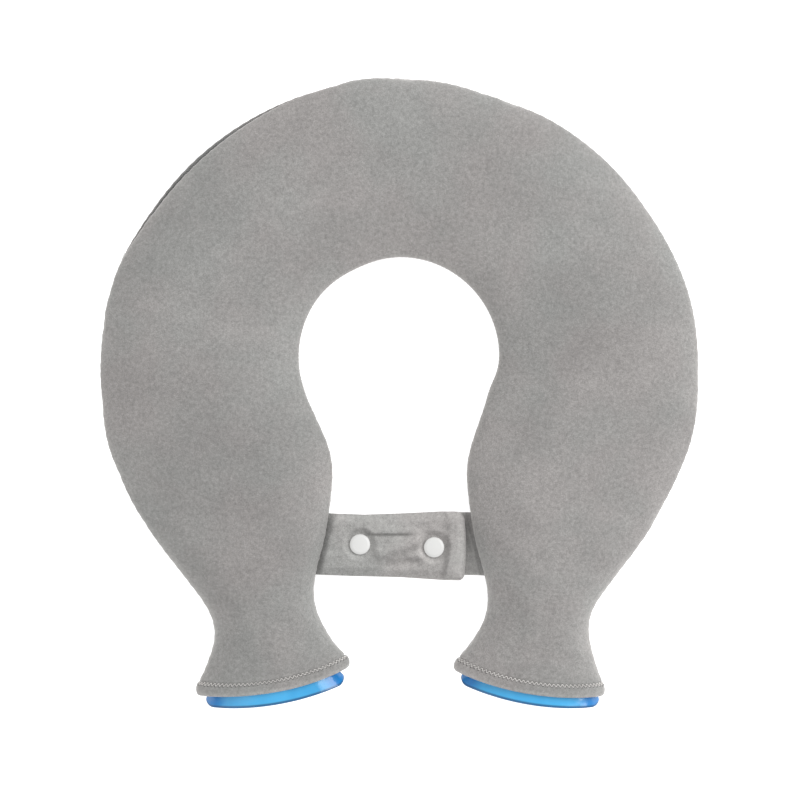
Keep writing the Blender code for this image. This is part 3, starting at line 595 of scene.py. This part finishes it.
def cut_hem(grid, along, shares):
    """Cuts the hem back by its roll, and a little unevenly, with rounded corners at the seams."""
    width = np.linalg.norm(OUTER[0] - INNER[0])
    from_edge = np.clip(1.0 - np.minimum(shares, 1.0 - shares) * width / CORNER_RADIUS, 0.0, 1.0)
    corner = CORNER_RADIUS * (1.0 - np.sqrt(1.0 - from_edge**2))
    v = 2.0 * shares - 1.0
    left, right = [MM * (middle + np.where(v < 0, at_inner - middle, at_outer - middle) * v**2)
                   for at_inner, middle, at_outer in HEM_TRIM.values()]
    on_left = (np.arange(len(along)) < len(along) // 2)[:, None]
    trim = np.where(on_left, left[None, :], right[None, :])
    near = smooth_step((13.0 * MM - along) / (13.0 * MM))
    return drawn_back(grid, along, near[:, None] * (HEM_ROLL + trim + corner[None, :]))


def relief(grid, along, shares, front):
    """Height of the small reliefs over the fabric: puckers, slack, hem and the stitches' groove."""
    steps = np.linalg.norm(np.diff(grid[:, -1], axis=0), axis=1)
    run = np.concatenate([[0.0], np.cumsum(steps)])
    pull = 0.5 + 0.5 * np.cos(2 * np.pi * run / PUCKER_PITCH + 1.7 * np.sin(run * 61.0))
    near_edge = np.exp(-(np.minimum(shares, 1.0 - shares) / 0.035) ** 2)
    puckers = -0.22 * MM * pull[:, None] * near_edge[None, :]
    # the hem is two layers thick from the fold to the stitches
    band = smooth_step((HEM_DEPTH - along) / (1.2 * MM)) * smooth_step(along / (1.5 * MM))
    groove = np.exp(-((along - HEM_DEPTH - 0.3 * MM) / (0.85 * MM)) ** 2)
    return puckers + folds(along, shares, front) + (0.40 * MM * (band - groove))[:, None]


def turn_edges(grid, sign):
    """Adds the turned-in edge of the fabric along both seams."""
    extra = []
    for edge, far in ((0, -1), (-1, 0)):
        outward = grid[:, edge, :2] - grid[:, far, :2]
        outward = unit(np.column_stack([outward, np.zeros(len(outward))]))
        turned = []
        for angle in np.radians(SEAM_ANGLES):
            point = grid[:, edge] - outward * SEAM_ROLL * (1.0 - math.cos(angle))
            point[:, 2] -= sign * SEAM_ROLL * math.sin(angle)
            turned.append(point)
        turned.append(turned[-1] - outward * SEAM_TUCK)
        extra.append(turned)
    return np.stack([*extra[0][::-1], *grid.transpose(1, 0, 2), *extra[1]], axis=1)


def paint_sheen(grid, along, shares):
    """Painted sheen, per point: painted highlights at the hem's fold, along the seams and beside
    the zip, and painted lighter sides on the cuffs.
    """
    hem = 0.55 * np.exp(-(along / (1.1 * MM)) ** 2)[:, None]
    seam = np.zeros(grid.shape[1])
    seam[3:8] = (0.12, 0.20, 0.22, 0.16, 0.06)
    worn = np.maximum(hem, np.maximum(seam, seam[::-1])[None, :])
    edge = np.zeros(SEAM_COLUMNS)
    beside = np.concatenate([edge, np.exp(-((1.0 - shares) / 0.07) ** 2), edge])
    around = turn_from_centre(grid[:, -1 - SEAM_COLUMNS, :2])
    worn = worn + 0.22 * beside[None, :] * np.exp(-((around - 138.0) / 20.0) ** 2)[:, None]
    sides = 0.24 * np.exp(-(shares / 0.13) ** 2) + 0.10 * np.exp(-((1.0 - shares) / 0.10) ** 2)
    sides = np.concatenate([edge, sides, edge])
    cuffs = 1.0 + 0.7 * np.exp(-((along - 30.0 * MM) / (30.0 * MM)) ** 2)
    worn = worn + cuffs[:, None] * sides[None, :]
    return np.pad(worn, ((HEM_ROWS, HEM_ROWS), (0, 0)), mode="edge")


def finish_panel(grid, front):
    """Adds what is finer than the simulation: hem, stitch groove, turned edges and puckers."""
    grid = open_for_zip(grid, front)
    places = fine_rows()
    grid = resample(grid, places)
    along = np.abs(resample(TO_HEM[:, None], places)[:, 0])
    columns = np.linspace(0, PANEL_COLUMNS, 2 * PANEL_COLUMNS + 1)
    grid = resample(grid.transpose(1, 0, 2), columns).transpose(1, 0, 2)
    shares = (-np.cos(np.pi * columns / PANEL_COLUMNS) + 1.0) / 2.0
    sign = 1.0 if front else -1.0
    grid = cut_hem(grid, along, shares)

    # the edges along the seam are turned in, which leaves a groove between the two panels
    low = 1.0 - np.clip(sign * (grid[:, :, 2] - SEAM_Z) / (TOP_Z - SEAM_Z), 0.0, 1.0)
    grid[:, :, 2] += sign * (SEAM_ROLL + 0.05 * MM) * low**2
    normals = grid_normals(grid)
    if normals[len(normals) // 2, normals.shape[1] // 2, 2] * sign < 0:
        normals = -normals
    grid = grid + normals * relief(grid, along, shares, front)[:, :, None]
    if not front:
        grid[:, :, 2] = np.maximum(grid[:, :, 2], 0.3 * MM)
    grid = turn_edges(grid, sign)
    return hem_fold(grid, along), along, paint_sheen(grid, along, shares)


def hem_fold(grid, along):
    """Rolls both cuff ends over and runs the inner layer of the hem back inside."""
    half = len(grid) // 2
    for end in (0, -1):
        side = -1.0 if end == 0 else 1.0
        outwards = np.array([side * MOUTH_AXIS[0], MOUTH_AXIS[1], 0.0])
        rim = grid[end]
        inwards = np.cross(unit(np.gradient(rim, axis=0)), outwards)
        middle = rim.mean(axis=0)
        middle[2] = SEAM_Z
        if np.sum(inwards * (middle - rim)) < 0:
            inwards = -inwards
        inwards = unit(inwards)
        inwards[:SEAM_COLUMNS] = inwards[SEAM_COLUMNS]
        inwards[-SEAM_COLUMNS:] = inwards[-1 - SEAM_COLUMNS]
        rows = []
        for angle in np.radians(HEM_ANGLES):
            rows.append(rim + outwards * HEM_ROLL * math.sin(angle)
                        + inwards * HEM_ROLL * (1.0 - math.cos(angle)))
        for share in HEM_LAYERS:
            k = int(np.argmin(np.abs(along[:half] - share * HEM_DEPTH)))
            layer = grid[k] if end == 0 else grid[-1 - k]
            rows.append(layer + inwards * 2.5 * HEM_ROLL)
        rows = np.array(rows)
        grid = np.concatenate([rows[::-1], grid] if end == 0 else [grid, rows])
    return grid


def build_cover():
    grids = start_panel(True), start_panel(False)
    grids = simulate(grids)
    made = []
    for label, front, grid in (("front", True, grids[0]), ("back", False, grids[1])):
        shaped, along, worn = finish_panel(grid, front)
        mesh = grid_mesh(f"velvet_{label}_panel", shaped, flip=front, worn=worn)
        piece = add_piece(f"velvet_{label}_panel", mesh, PILLOW, VELVET, "grey_velvet",
                          f"cover_{label}")
        made.append((shaped, along))
    return made


# ---------------------------------------------------------------- straps
STRAP_ROWS, STRAP_COLUMNS = 110, 150   # intervals across a strap and along it
STRAP_SEWN_IN = 3.2 * MM           # length of a strap that is inside the leg's seam
STRAP_TIP_BOW = 1.5 * MM           # the free end bulges in the middle
SNAP_HOLD = 6.3 * MM               # a snap holds the cloth flat within this distance


def rounded(distance, radius):
    """How far a rounded corner cuts in, at a distance from the corner."""
    inside = np.clip(1.0 - distance / radius, 0.0, 1.0)
    return radius * (1.0 - np.sqrt(1.0 - inside**2))


def strap_plan(low, high, turn, edges):
    """A strap's points seen from above, and the distance of each from its ends and sides."""
    pos, axis = turn["pos_m"], turn["axis"]
    lean = axis[0] / axis[1]
    side = -1.0 if pos[0] < 0 else 1.0
    free_x = high.x if side < 0 else low.x
    s = -np.cos(np.pi * np.arange(STRAP_ROWS + 1) / STRAP_ROWS)
    s = np.sign(s) * np.abs(s) ** 0.85
    t = np.arange(STRAP_COLUMNS + 1) / STRAP_COLUMNS
    t = 0.5 * t + 0.5 * (1.0 - np.cos(np.pi * t)) / 2.0
    bottom = low.y + np.interp(t, edges["t"], edges["bottom"]) * MM
    top = high.y + np.interp(t, edges["t"], edges["top"]) * MM
    y = bottom[None, :] + (top - bottom)[None, :] * (s[:, None] + 1.0) / 2.0
    root_x = pos[0] + (y[:, :1] - pos[1]) * lean + side * STRAP_SEWN_IN
    from_top = (1.0 - s[:, None]) / 2.0 * (top - bottom)[-1]
    from_bottom = (1.0 + s[:, None]) / 2.0 * (top - bottom)[-1]
    upper_corner, lower_corner = edges["corners"]
    inset = rounded(from_top, upper_corner * MM) + rounded(from_bottom, lower_corner * MM)
    tip_x = free_x - side * STRAP_TIP_BOW * (1.0 - s[:, None] ** 2) + side * (inset + 0.3 * MM)
    x = root_x + (tip_x - root_x) * t[None, :]
    from_side = np.minimum(top[None, :] - y, y - bottom[None, :])
    from_tip = np.abs(x - tip_x)
    return {"x": x, "y": y, "from_top": from_top, "from_bottom": from_bottom, "from_tip": from_tip,
            "from_root": np.abs(x - root_x), "from_rim": np.minimum(from_side, from_tip)}


def tip_roll(plan):
    """The folded free end, from 0 to 1: fuller and steeper towards the strap's lower side."""
    from_tip = plan["from_tip"]
    rise = 2.4 * MM + 3.0 * MM * plan["from_bottom"] / 0.04
    shoulder = smooth_step((13.2 * MM - from_tip) / rise)
    crown = np.sqrt(np.clip(1.0 - ((from_tip - 6.6 * MM) / (7.4 * MM)) ** 2, 0.0, 1.0))
    strength = 0.40 + 0.60 * smooth_step((plan["from_top"] - 6.0 * MM) / (22.0 * MM))
    return shoulder * crown * strength, strength


def strap_puff(plan, folds, snap_word, roll):
    """How far a strap's upper face stands above its flat height, in metres."""
    x, y, from_tip, from_root = plan["x"], plan["y"], plan["from_tip"], plan["from_root"]
    puff = 1.0 * MM * smooth_step(plan["from_rim"] / (6.0 * MM))
    for fold in folds:
        puff = puff + fold(x, y)
    rolled, strength = tip_roll(plan)
    puff = puff + roll * rolled
    puff = puff - 0.10 * roll * strength * np.exp(-((from_tip - 14.0 * MM) / (1.3 * MM)) ** 2)
    wobble = 0.16 * MM * (np.sin(x * 410.0 + 2.0 * np.sin(y * 160.0)) * np.sin(y * 290.0 + 0.7))
    pleats = 0.30 * MM * np.sin(y * 620.0 + 0.6) * np.exp(-(from_root / (9.0 * MM)) ** 2)
    puff = puff + wobble + pleats * (from_root > 0)
    for snap in ("left", "right"):
        cap_low, cap_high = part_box(f"snap_{snap_word}_{snap}")
        centre = (cap_low + cap_high) / 2
        away = np.hypot(x - centre.x, y - centre.y)
        held = smooth_step((away - SNAP_HOLD) / (4.5 * MM))
        puff = puff * held - 0.25 * MM * (1.0 - held) * (away > SNAP_HOLD)
    return puff


def strap_nap(plan, upper, rest, root_shade):
    """Painted highlight and shade on the pile: lighter where a fold turns it up, darker where it
    turns away, and a painted shadow at the sewn end.
    """
    facing = grid_normals(np.dstack([plan["x"], plan["y"], upper]))
    facing = facing * np.sign(facing[STRAP_ROWS // 2, STRAP_COLUMNS // 2, 2])
    # how far each fold faces +Y, and a little +X, sets its painted highlight or shade
    turned = 0.35 * facing[:, :, 0] + 0.75 * facing[:, :, 1]
    nap = rest + turned * smooth_step(plan["from_rim"] / (2.5 * MM))
    # a painted shadow where the strap goes in under the leg's seam
    depth, start, fade = root_shade
    beyond = np.maximum(plan["from_root"] - start * MM, 0.0)
    return nap - depth * np.exp(-(beyond / (fade * MM)) ** 2)


def there_and_back(top, bottom):
    """Rows right round a strap: its upper face, then its lower face backwards."""
    return np.concatenate([top, bottom[::-1][1:-1]], axis=0)


def build_strap(node, edges, folds, snap_word, roll, rest, root_shade):
    """Two layers of velvet, turned and sewn, softly stuffed, with a folded free end.

    `rest` is the painted shade of its level pile; `root_shade` is the depth, start and fade (mm)
    of the painted shadow at its sewn end.
    """
    low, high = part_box(node)
    turn = joint(f"{node}_fold")
    plan = strap_plan(low, high, turn, edges)
    middle, half = (low.z + high.z) / 2, (high.z - low.z) / 2
    near = plan["from_rim"]
    from_root = plan["from_root"]
    rounding = np.sqrt(np.clip(1.0 - (1.0 - np.clip(near / (2.0 * MM), 0, 1)) ** 2, 0.0, 1.0))
    puff = strap_puff(plan, folds, snap_word, roll)
    flatten = smooth_step(from_root / (7.0 * MM))
    centre_line = middle + (1.0 - smooth_step(from_root / (8.0 * MM))) * (SEAM_Z - middle)
    pinch = 0.60 + 0.40 * smooth_step(from_root / (6.0 * MM))
    upper = centre_line + (half + puff * flatten) * rounding * pinch
    lower = centre_line - (half + 0.15 * np.maximum(puff, 0.0) * flatten) * rounding * pinch
    # painted highlight and shade from the folds' facing; the rolled free end gets a painted
    # highlight too
    nap = strap_nap(plan, upper, rest, root_shade)
    if roll:
        nap = nap + 0.10 * tip_roll(plan)[0]
    nap = np.clip(nap, 0.0, 1.0)
    # painted sheen: the strap is painted up to 30% lighter along its edges
    worn = 0.30 * np.exp(-near / (0.9 * MM))
    loop = there_and_back(*[np.dstack([plan["x"], plan["y"], face]) for face in (upper, lower)])
    name, body = f"{node}_fabric", f"{node}_body"
    mesh = grid_mesh(name, loop.transpose(1, 0, 2), close_columns=True,
                     worn=there_and_back(worn, worn).T, nap=there_and_back(nap, nap).T)
    close_ends(mesh)
    piece = add_piece(name, mesh, None, STRAP_VELVET, "grey_velvet", node)
    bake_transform(piece)


def close_ends(mesh):
    bm = bmesh.new()
    bm.from_mesh(mesh)
    bmesh.ops.remove_doubles(bm, verts=bm.verts, dist=0.01 * MM)
    open_edges = [edge for edge in bm.edges if edge.is_boundary]
    bmesh.ops.holes_fill(bm, edges=open_edges)
    bmesh.ops.recalc_face_normals(bm, faces=bm.faces)
    bm.to_mesh(mesh)
    bm.free()
    mesh.shade_smooth()


def tucked_fold(start, end, height):
    """A fold that rises slowly from above and drops sharply below, between two points."""
    def rise(x, y):
        share = (x - start[0]) / (end[0] - start[0])
        line = start[1] + (end[1] - start[1]) * share
        ends = smooth_step((share + 0.05) / 0.15) * smooth_step((1.15 - share) / 0.35)
        above = np.exp(-(np.maximum(y - line, 0.0) / (4.2 * MM)) ** 2)
        below = np.exp(-(np.maximum(line - y, 0.0) / (1.1 * MM)) ** 2)
        dip = 0.25 * np.exp(-((line - y - 1.8 * MM) / (1.3 * MM)) ** 2)
        return height * ends * (above * below - dip)
    return rise


def soft_fold(start, end, width, height):
    """A rounded fold along a line between two points; a hollow if its height is negative."""
    def rise(x, y):
        dx, dy = end[0] - start[0], end[1] - start[1]
        share = ((x - start[0]) * dx + (y - start[1]) * dy) / (dx * dx + dy * dy)
        share = np.clip(share, 0.0, 1.0)
        away = np.hypot(x - start[0] - share * dx, y - start[1] - share * dy)
        return height * np.exp(-(away / width) ** 2)
    return rise


def build_straps():
    """The folded upper strap and the plainer lower one; their edges' offsets are in mm."""
    y = joint("strap_upper_fold")["pos_m"][1]
    folds = [tucked_fold((-20.5 * MM, y + 7.0 * MM), (9.5 * MM, y + 7.2 * MM), 1.2 * MM),
             soft_fold((-11.0 * MM, y - 5.5 * MM), (11.0 * MM, y + 1.8 * MM), 3.6 * MM, 1.7 * MM),
             soft_fold((-5.5 * MM, y - 12.8 * MM), (9.5 * MM, y - 10.4 * MM), 3.0 * MM, -1.2 * MM),
             soft_fold((9.0 * MM, y - 8.0 * MM), (18.0 * MM, y - 6.0 * MM), 2.6 * MM, 0.9 * MM)]
    edges = {"t": (0.0, 0.3, 0.6, 0.9, 1.0), "top": (-0.6, -1.4, -0.6, 0.5, 0.4),
             "bottom": (1.6, 0.6, 0.0, -1.8, -2.0), "corners": (5.0, 3.0)}
    # the last two arguments are painted: the level pile's painted shade, and the painted shadow
    # where the strap goes in under its leg
    build_strap("strap_upper", edges, folds, "cap", 2.7 * MM, 0.5, (0.30, 4.4, 1.5))
    edges = {"t": (0.0, 0.35, 1.0), "top": (0.0, -0.6, -2.4), "bottom": (0.8, 1.2, 2.0),
             "corners": (4.0, 4.0)}
    # the lower strap's pile is painted lighter, against the shade that the upper strap and the leg
    # cast on it
    build_strap("strap_lower", edges, [], "stud", 0.0, 0.8, (0.60, 3.8, 0.8))


# ---------------------------------------------------------------- filling mouths and zip coils
FUNNEL_PROFILE = [                 # distance out of the hem plane, half width, half height, in mm
    (-58.0, 20.8, 14.9), (-47.0, 20.8, 14.9), (-40.0, 21.8, 15.5), (-32.0, 23.6, 15.9),
    (-23.0, 27.4, 16.2), (-13.0, 32.4, 16.5), (-4.0, 36.6, 16.8), (3.0, 39.6, 17.0),
    (5.6, 40.8, 17.2), (6.6, 41.2, 17.3), (7.2, 41.1, 17.2), (7.5, 40.6, 16.8),
    (7.4, 40.0, 16.2), (6.8, 39.6, 15.8), (6.0, 39.2, 15.5), (3.0, 37.8, 15.3), (-4.0, 34.7, 15.1),
    (-13.0, 30.5, 14.8), (-23.0, 25.2, 14.4), (-31.0, 19.5, 14.0), (-33.4, 14.6, 13.5),
    (-34.0, 13.3, 13.3), (-40.0, 13.3, 13.3), (-58.0, 13.3, 13.3)]
LIP_BOW = 5.7 * MM                 # the lip bulges outwards in the middle
LIP_ENDS = 0.17                    # share of the bow that the lip's two ends take too
LIP_REACH = 7.5 * MM               # of the profile's outermost point
LIP_SHIFT = {"left": 1.7 * MM, "right": 2.6 * MM}   # the soft lips have set a little to one side
LIP_WIDENING = 0.028               # share by which the lip is wider than the CAD's
LIP_CORNER = 3.6 * MM              # rounding of the lip's two ends
LIP_HALF_WIDTH = 42.0 * MM         # for that rounding


def build_funnels():
    """Both filling mouths: one closed profile swept round an oval, bowed and set to the side."""
    material = blue_pvc("blue_pvc")
    profile = np.array(FUNNEL_PROFILE) * MM
    spans = ((0, 7, 0.5), (7, 15, 0.25), (15, 23.01, 0.5))
    profile = resample(profile, np.concatenate([np.arange(*span) for span in spans]))
    around = np.linspace(0.0, 2.0 * np.pi, 144, endpoint=False)
    for label, side in (("left", -1.0), ("right", 1.0)):
        out = np.array([side * MOUTH_AXIS[0], MOUTH_AXIS[1], 0.0])
        across = np.array([-out[1], out[0], 0.0])
        centre = np.array([side * MOUTH[0], MOUTH[1], SEAM_Z])
        reach = profile[:, 0]
        bow = LIP_BOW * smooth_step((reach + 14.0 * MM) / (LIP_REACH + 14.0 * MM))
        drop = rounded(LIP_HALF_WIDTH * (1.0 - np.abs(np.cos(around))), LIP_CORNER)
        bulge = LIP_ENDS + (1.0 - LIP_ENDS) * np.sin(around) ** 2
        lip = smooth_step((reach + 2.0 * MM) / (8.0 * MM))
        along = reach[:, None] + bow[:, None] * bulge[None, :] - lip[:, None] * drop
        set_over = smooth_step((reach + 26.0 * MM) / (30.0 * MM))
        wide = profile[:, 1] * (1.0 + LIP_WIDENING * set_over)
        grid = (centre + across * (wide[:, None] * np.cos(around))[:, :, None]
                + np.array([LIP_SHIFT[label], 0.0, 0.0]) * set_over[:, None, None]
                + out * along[:, :, None]
                + np.array([0, 0, 1.0]) * (profile[:, 2, None] * np.sin(around))[:, :, None])
        # painted shade: the oval's ends, where the wall is seen edge-on, and the lip's outer rim
        # are painted darker
        ends = np.clip((np.abs(np.cos(around)) - 0.70) / 0.16, 0.0, 1.0)[None, :]
        rim = smooth_step((reach - 5.6 * MM) / (0.9 * MM))[:, None]
        grid = np.concatenate([grid, grid[:1]])
        rim = np.concatenate([rim, rim[:1]])
        mesh = grid_mesh(f"{label}_funnel_moulding", grid, close_columns=True, flip=True,
                         ends=ends, rim=0.9 * rim)
        add_piece(f"{label}_funnel_moulding", mesh, PILLOW, material, "blue_pvc", f"{label}_funnel")


def tube(path, radius, sides):
    """A closed-end tube of points along a path, rows of the grid along it."""
    heading = unit(np.gradient(path, axis=0))
    first = unit(np.cross(heading, np.array([0.3, 0.2, 0.93])))
    second = np.cross(heading, first)
    turn = 2.0 * np.pi * np.arange(sides) / sides
    size = np.full(len(path), radius)
    size[[0, -1]] = radius * 0.02
    return (path[:, None] + size[:, None, None]
            * (first[:, None] * np.cos(turn)[:, None] + second[:, None] * np.sin(turn)[:, None]))


def build_coils():
    """Each zip coil is one helix of monofilament sewn along its tape."""
    material = plastic("coil", (0.20, 0.20, 0.197), 0.40, 0.15, 900.0, 0.05, 0.1)
    pitch, thread = 1.30 * MM, 0.30 * MM
    for label, side in (("front", 1.0), ("back", -1.0)):
        name = f"zip_coil_{label}"
        points = np.array([v.co[:] for v in frame["nodes"][name].data.vertices])
        radial = np.hypot(*(points[:, :2] - RING_CENTRE).T)
        centre_r = (radial.min() + radial.max()) / 2
        centre_z = (points[:, 2].min() + points[:, 2].max()) / 2
        length = math.radians(ZIP_HIGH - ZIP_LOW) * centre_r
        turns = int(length / pitch)
        phase = np.arange(turns * 12 + 1) / 12.0
        angle = np.radians(ZIP_LOW) + phase * pitch / centre_r
        swing = 2.0 * np.pi * phase + (0.0 if side > 0 else np.pi)
        r = centre_r + 0.42 * MM * np.sin(swing)
        z = centre_z - side * 0.30 * MM + side * 0.85 * MM * np.cos(swing)
        path = np.column_stack([RING_CENTRE[0] + r * np.cos(angle),
                                RING_CENTRE[1] + r * np.sin(angle), z])
        mesh = grid_mesh(f"{name}_helix", tube(path, thread, 6), close_columns=True)
        close_ends(mesh)
        add_piece(f"{name}_helix", mesh, PILLOW, material, "dark_coil", name)


# ---------------------------------------------------------------- carried-over nodes
def dress_nodes():
    bag = plastic("bag_pvc", (0.16, 0.42, 0.72), 0.25, 0.10, 300.0, 0.05, 0.2, 0.3)
    white = plastic("white_snap", (0.61, 0.61, 0.60), 0.38, 0.02, 1500.0, 0.05)
    insert = plastic("white_insert", (0.80, 0.80, 0.78), 0.45, 0.04)
    navy = plastic("navy_plastic", (0.02, 0.10, 0.36), 0.32, 0.12, 1200.0, 0.05, 0.2)
    rubber = plastic("white_rubber", (0.62, 0.62, 0.60), 0.7, 0.06, 800.0, 0.1)
    tape = woven("grey_tape", (0.30, 0.30, 0.293), 0.5 * MM)
    slider = plastic("grey_slider", (0.28, 0.28, 0.27), 0.35, 0.1, 1200.0, 0.05, 0.3)
    dressing = {"bladder": bag, "snap": white, "insert": insert, "stopper": navy,
                "washer": rubber, "tape": tape, "slider": slider, "stop_": slider,
                "bottom_stop": slider, "pull_tab": slider}
    for name, node in frame["nodes"].items():
        for word, made in dressing.items():
            if word in name:
                node.data.materials.clear()
                node.data.materials.append(made)
                break


# ---------------------------------------------------------------- hem stitches
def stitch_row(panel, end, depth):
    """Points across one panel at a distance from the hem, and the distance run along them."""
    shaped, along = panel
    half = len(along) // 2
    row = np.interp(depth, along[:half], np.arange(half))
    body = shaped[HEM_ROWS:-HEM_ROWS, SEAM_COLUMNS:-SEAM_COLUMNS]
    rows = body[:half] if end < 0 else body[::-1][:half]
    points = resample(rows, [row])[0]
    steps = np.linalg.norm(np.diff(points, axis=0), axis=1)
    return points, np.concatenate([[0.0], np.cumsum(steps)])


def along_row(points, run, share):
    return np.array([np.interp(run[-1] * share, run, points[:, axis]) for axis in range(3)])


def build_stitches(panels):
    """A zigzag of thread on both faces of each cuff, with near-black dots of painted shade at its
    corners, where the needle's holes are.
    """
    thread = plastic("thread", (0.66, 0.64, 0.62), 0.8, 0.1, 2500.0, 0.3)
    # near-black: the dots at the needle's holes are painted shade
    hole_shade = plastic("painted_hole_shade", (0.05, 0.05, 0.05), 0.9, 0.1)
    for label, side in (("left", -1.0), ("right", 1.0)):
        curve = bpy.data.curves.new(f"{label}_hem_stitches", "CURVE")
        curve.dimensions = "3D"
        curve.bevel_depth = THREAD_RADIUS
        curve.bevel_resolution = 1
        dots = bmesh.new()
        for panel, up in zip(panels, (1.0, -1.0)):
            middle = stitch_row(panel, side, HEM_DEPTH)
            high = stitch_row(panel, side, HEM_DEPTH + STITCH_SWING)
            low = stitch_row(panel, side, HEM_DEPTH - STITCH_SWING)
            count = 2 * round(middle[1][-1] / STITCH_PITCH)
            shares = np.linspace(0.0, 1.0, count + 1)[2:-2]
            outside = np.array([0.0, 0.0, up])
            places = []
            for k, share in enumerate(shares):
                place = along_row(*(high if k % 2 else low), share)
                swing = place - along_row(*middle, share)
                places.append(place + outside * 0.16 * MM)
                # a near-black dot, sunk into the fabric, is painted shade in the needle's hole
                dot = bmesh.ops.create_icosphere(dots, subdivisions=2, radius=0.34 * MM)
                centre = place + 0.35 * swing - outside * 0.10 * MM
                bmesh.ops.translate(dots, verts=dot["verts"], vec=centre)
            spline = curve.splines.new("POLY")
            spline.points.add(len(places) - 1)
            for point, place in zip(spline.points, places):
                point.co = (*place, 1.0)
        add_piece(f"{label}_hem_stitches", curve, PILLOW, thread, "grey_velvet")
        mesh = bpy.data.meshes.new(f"{label}_hem_painted_hole_shades")
        dots.to_mesh(mesh)
        dots.free()
        add_piece(f"{label}_hem_painted_hole_shades", mesh, PILLOW, hole_shade, "grey_velvet")


# ---------------------------------------------------------------- stage
CAMERA_DISTANCE = 2.2
CAMERA_PLACE = (0.0006, -0.0048)   # the point of the model that is in the middle of the picture
PICTURE_WIDTH = 0.484              # seen at the height of the seam
SENSOR_WIDTH = 36.0                # in mm


def build_stage():
    bpy.ops.mesh.primitive_plane_add(size=8.0, location=(0.0, 0.0, -0.0005))
    floor = bpy.context.object
    floor.name = "floor"
    made, _, _, shader = new_material("floor")
    tune(shader, Base_Color=(0.93, 0.93, 0.93, 1.0), Roughness=0.9,
         Emission_Color=(1.0, 1.0, 1.0, 1.0), Emission_Strength=0.60)
    floor.data.materials.append(made)

    world = bpy.data.worlds.new("studio")
    world.use_nodes = True
    tune(world.node_tree.nodes["Background"], Color=(1.0, 1.0, 1.0, 1.0), Strength=0.95)
    bpy.context.scene.world = world
    bpy.context.scene.view_settings.view_transform = "Standard"

    def soft_light(name, place, size, power):
        light = bpy.data.lights.new(name, "AREA")
        light.shape = "DISK"
        light.size = size
        light.energy = power
        lamp = bpy.data.objects.new(name, light)
        lamp.location = place
        lamp.rotation_euler = (-Vector(place)).to_track_quat("-Z", "Y").to_euler()
        bpy.context.scene.collection.objects.link(lamp)

    soft_light("key", (1.35, 0.5, 1.0), 1.2, 19.0)
    soft_light("fill", (-1.1, -0.4, 1.2), 1.4, 3.0)

    camera = bpy.data.objects.new("camera", bpy.data.cameras.new("camera"))
    camera.data.sensor_width = SENSOR_WIDTH
    camera.data.lens = SENSOR_WIDTH * CAMERA_DISTANCE / PICTURE_WIDTH
    camera.location = (*CAMERA_PLACE, SEAM_Z + CAMERA_DISTANCE)
    camera.data.clip_end = 20.0
    bpy.context.scene.collection.objects.link(camera)
    bpy.context.scene.camera = camera


panels = build_cover()
build_straps()
build_stitches(panels)
build_funnels()
build_coils()
dress_nodes()
build_stage()
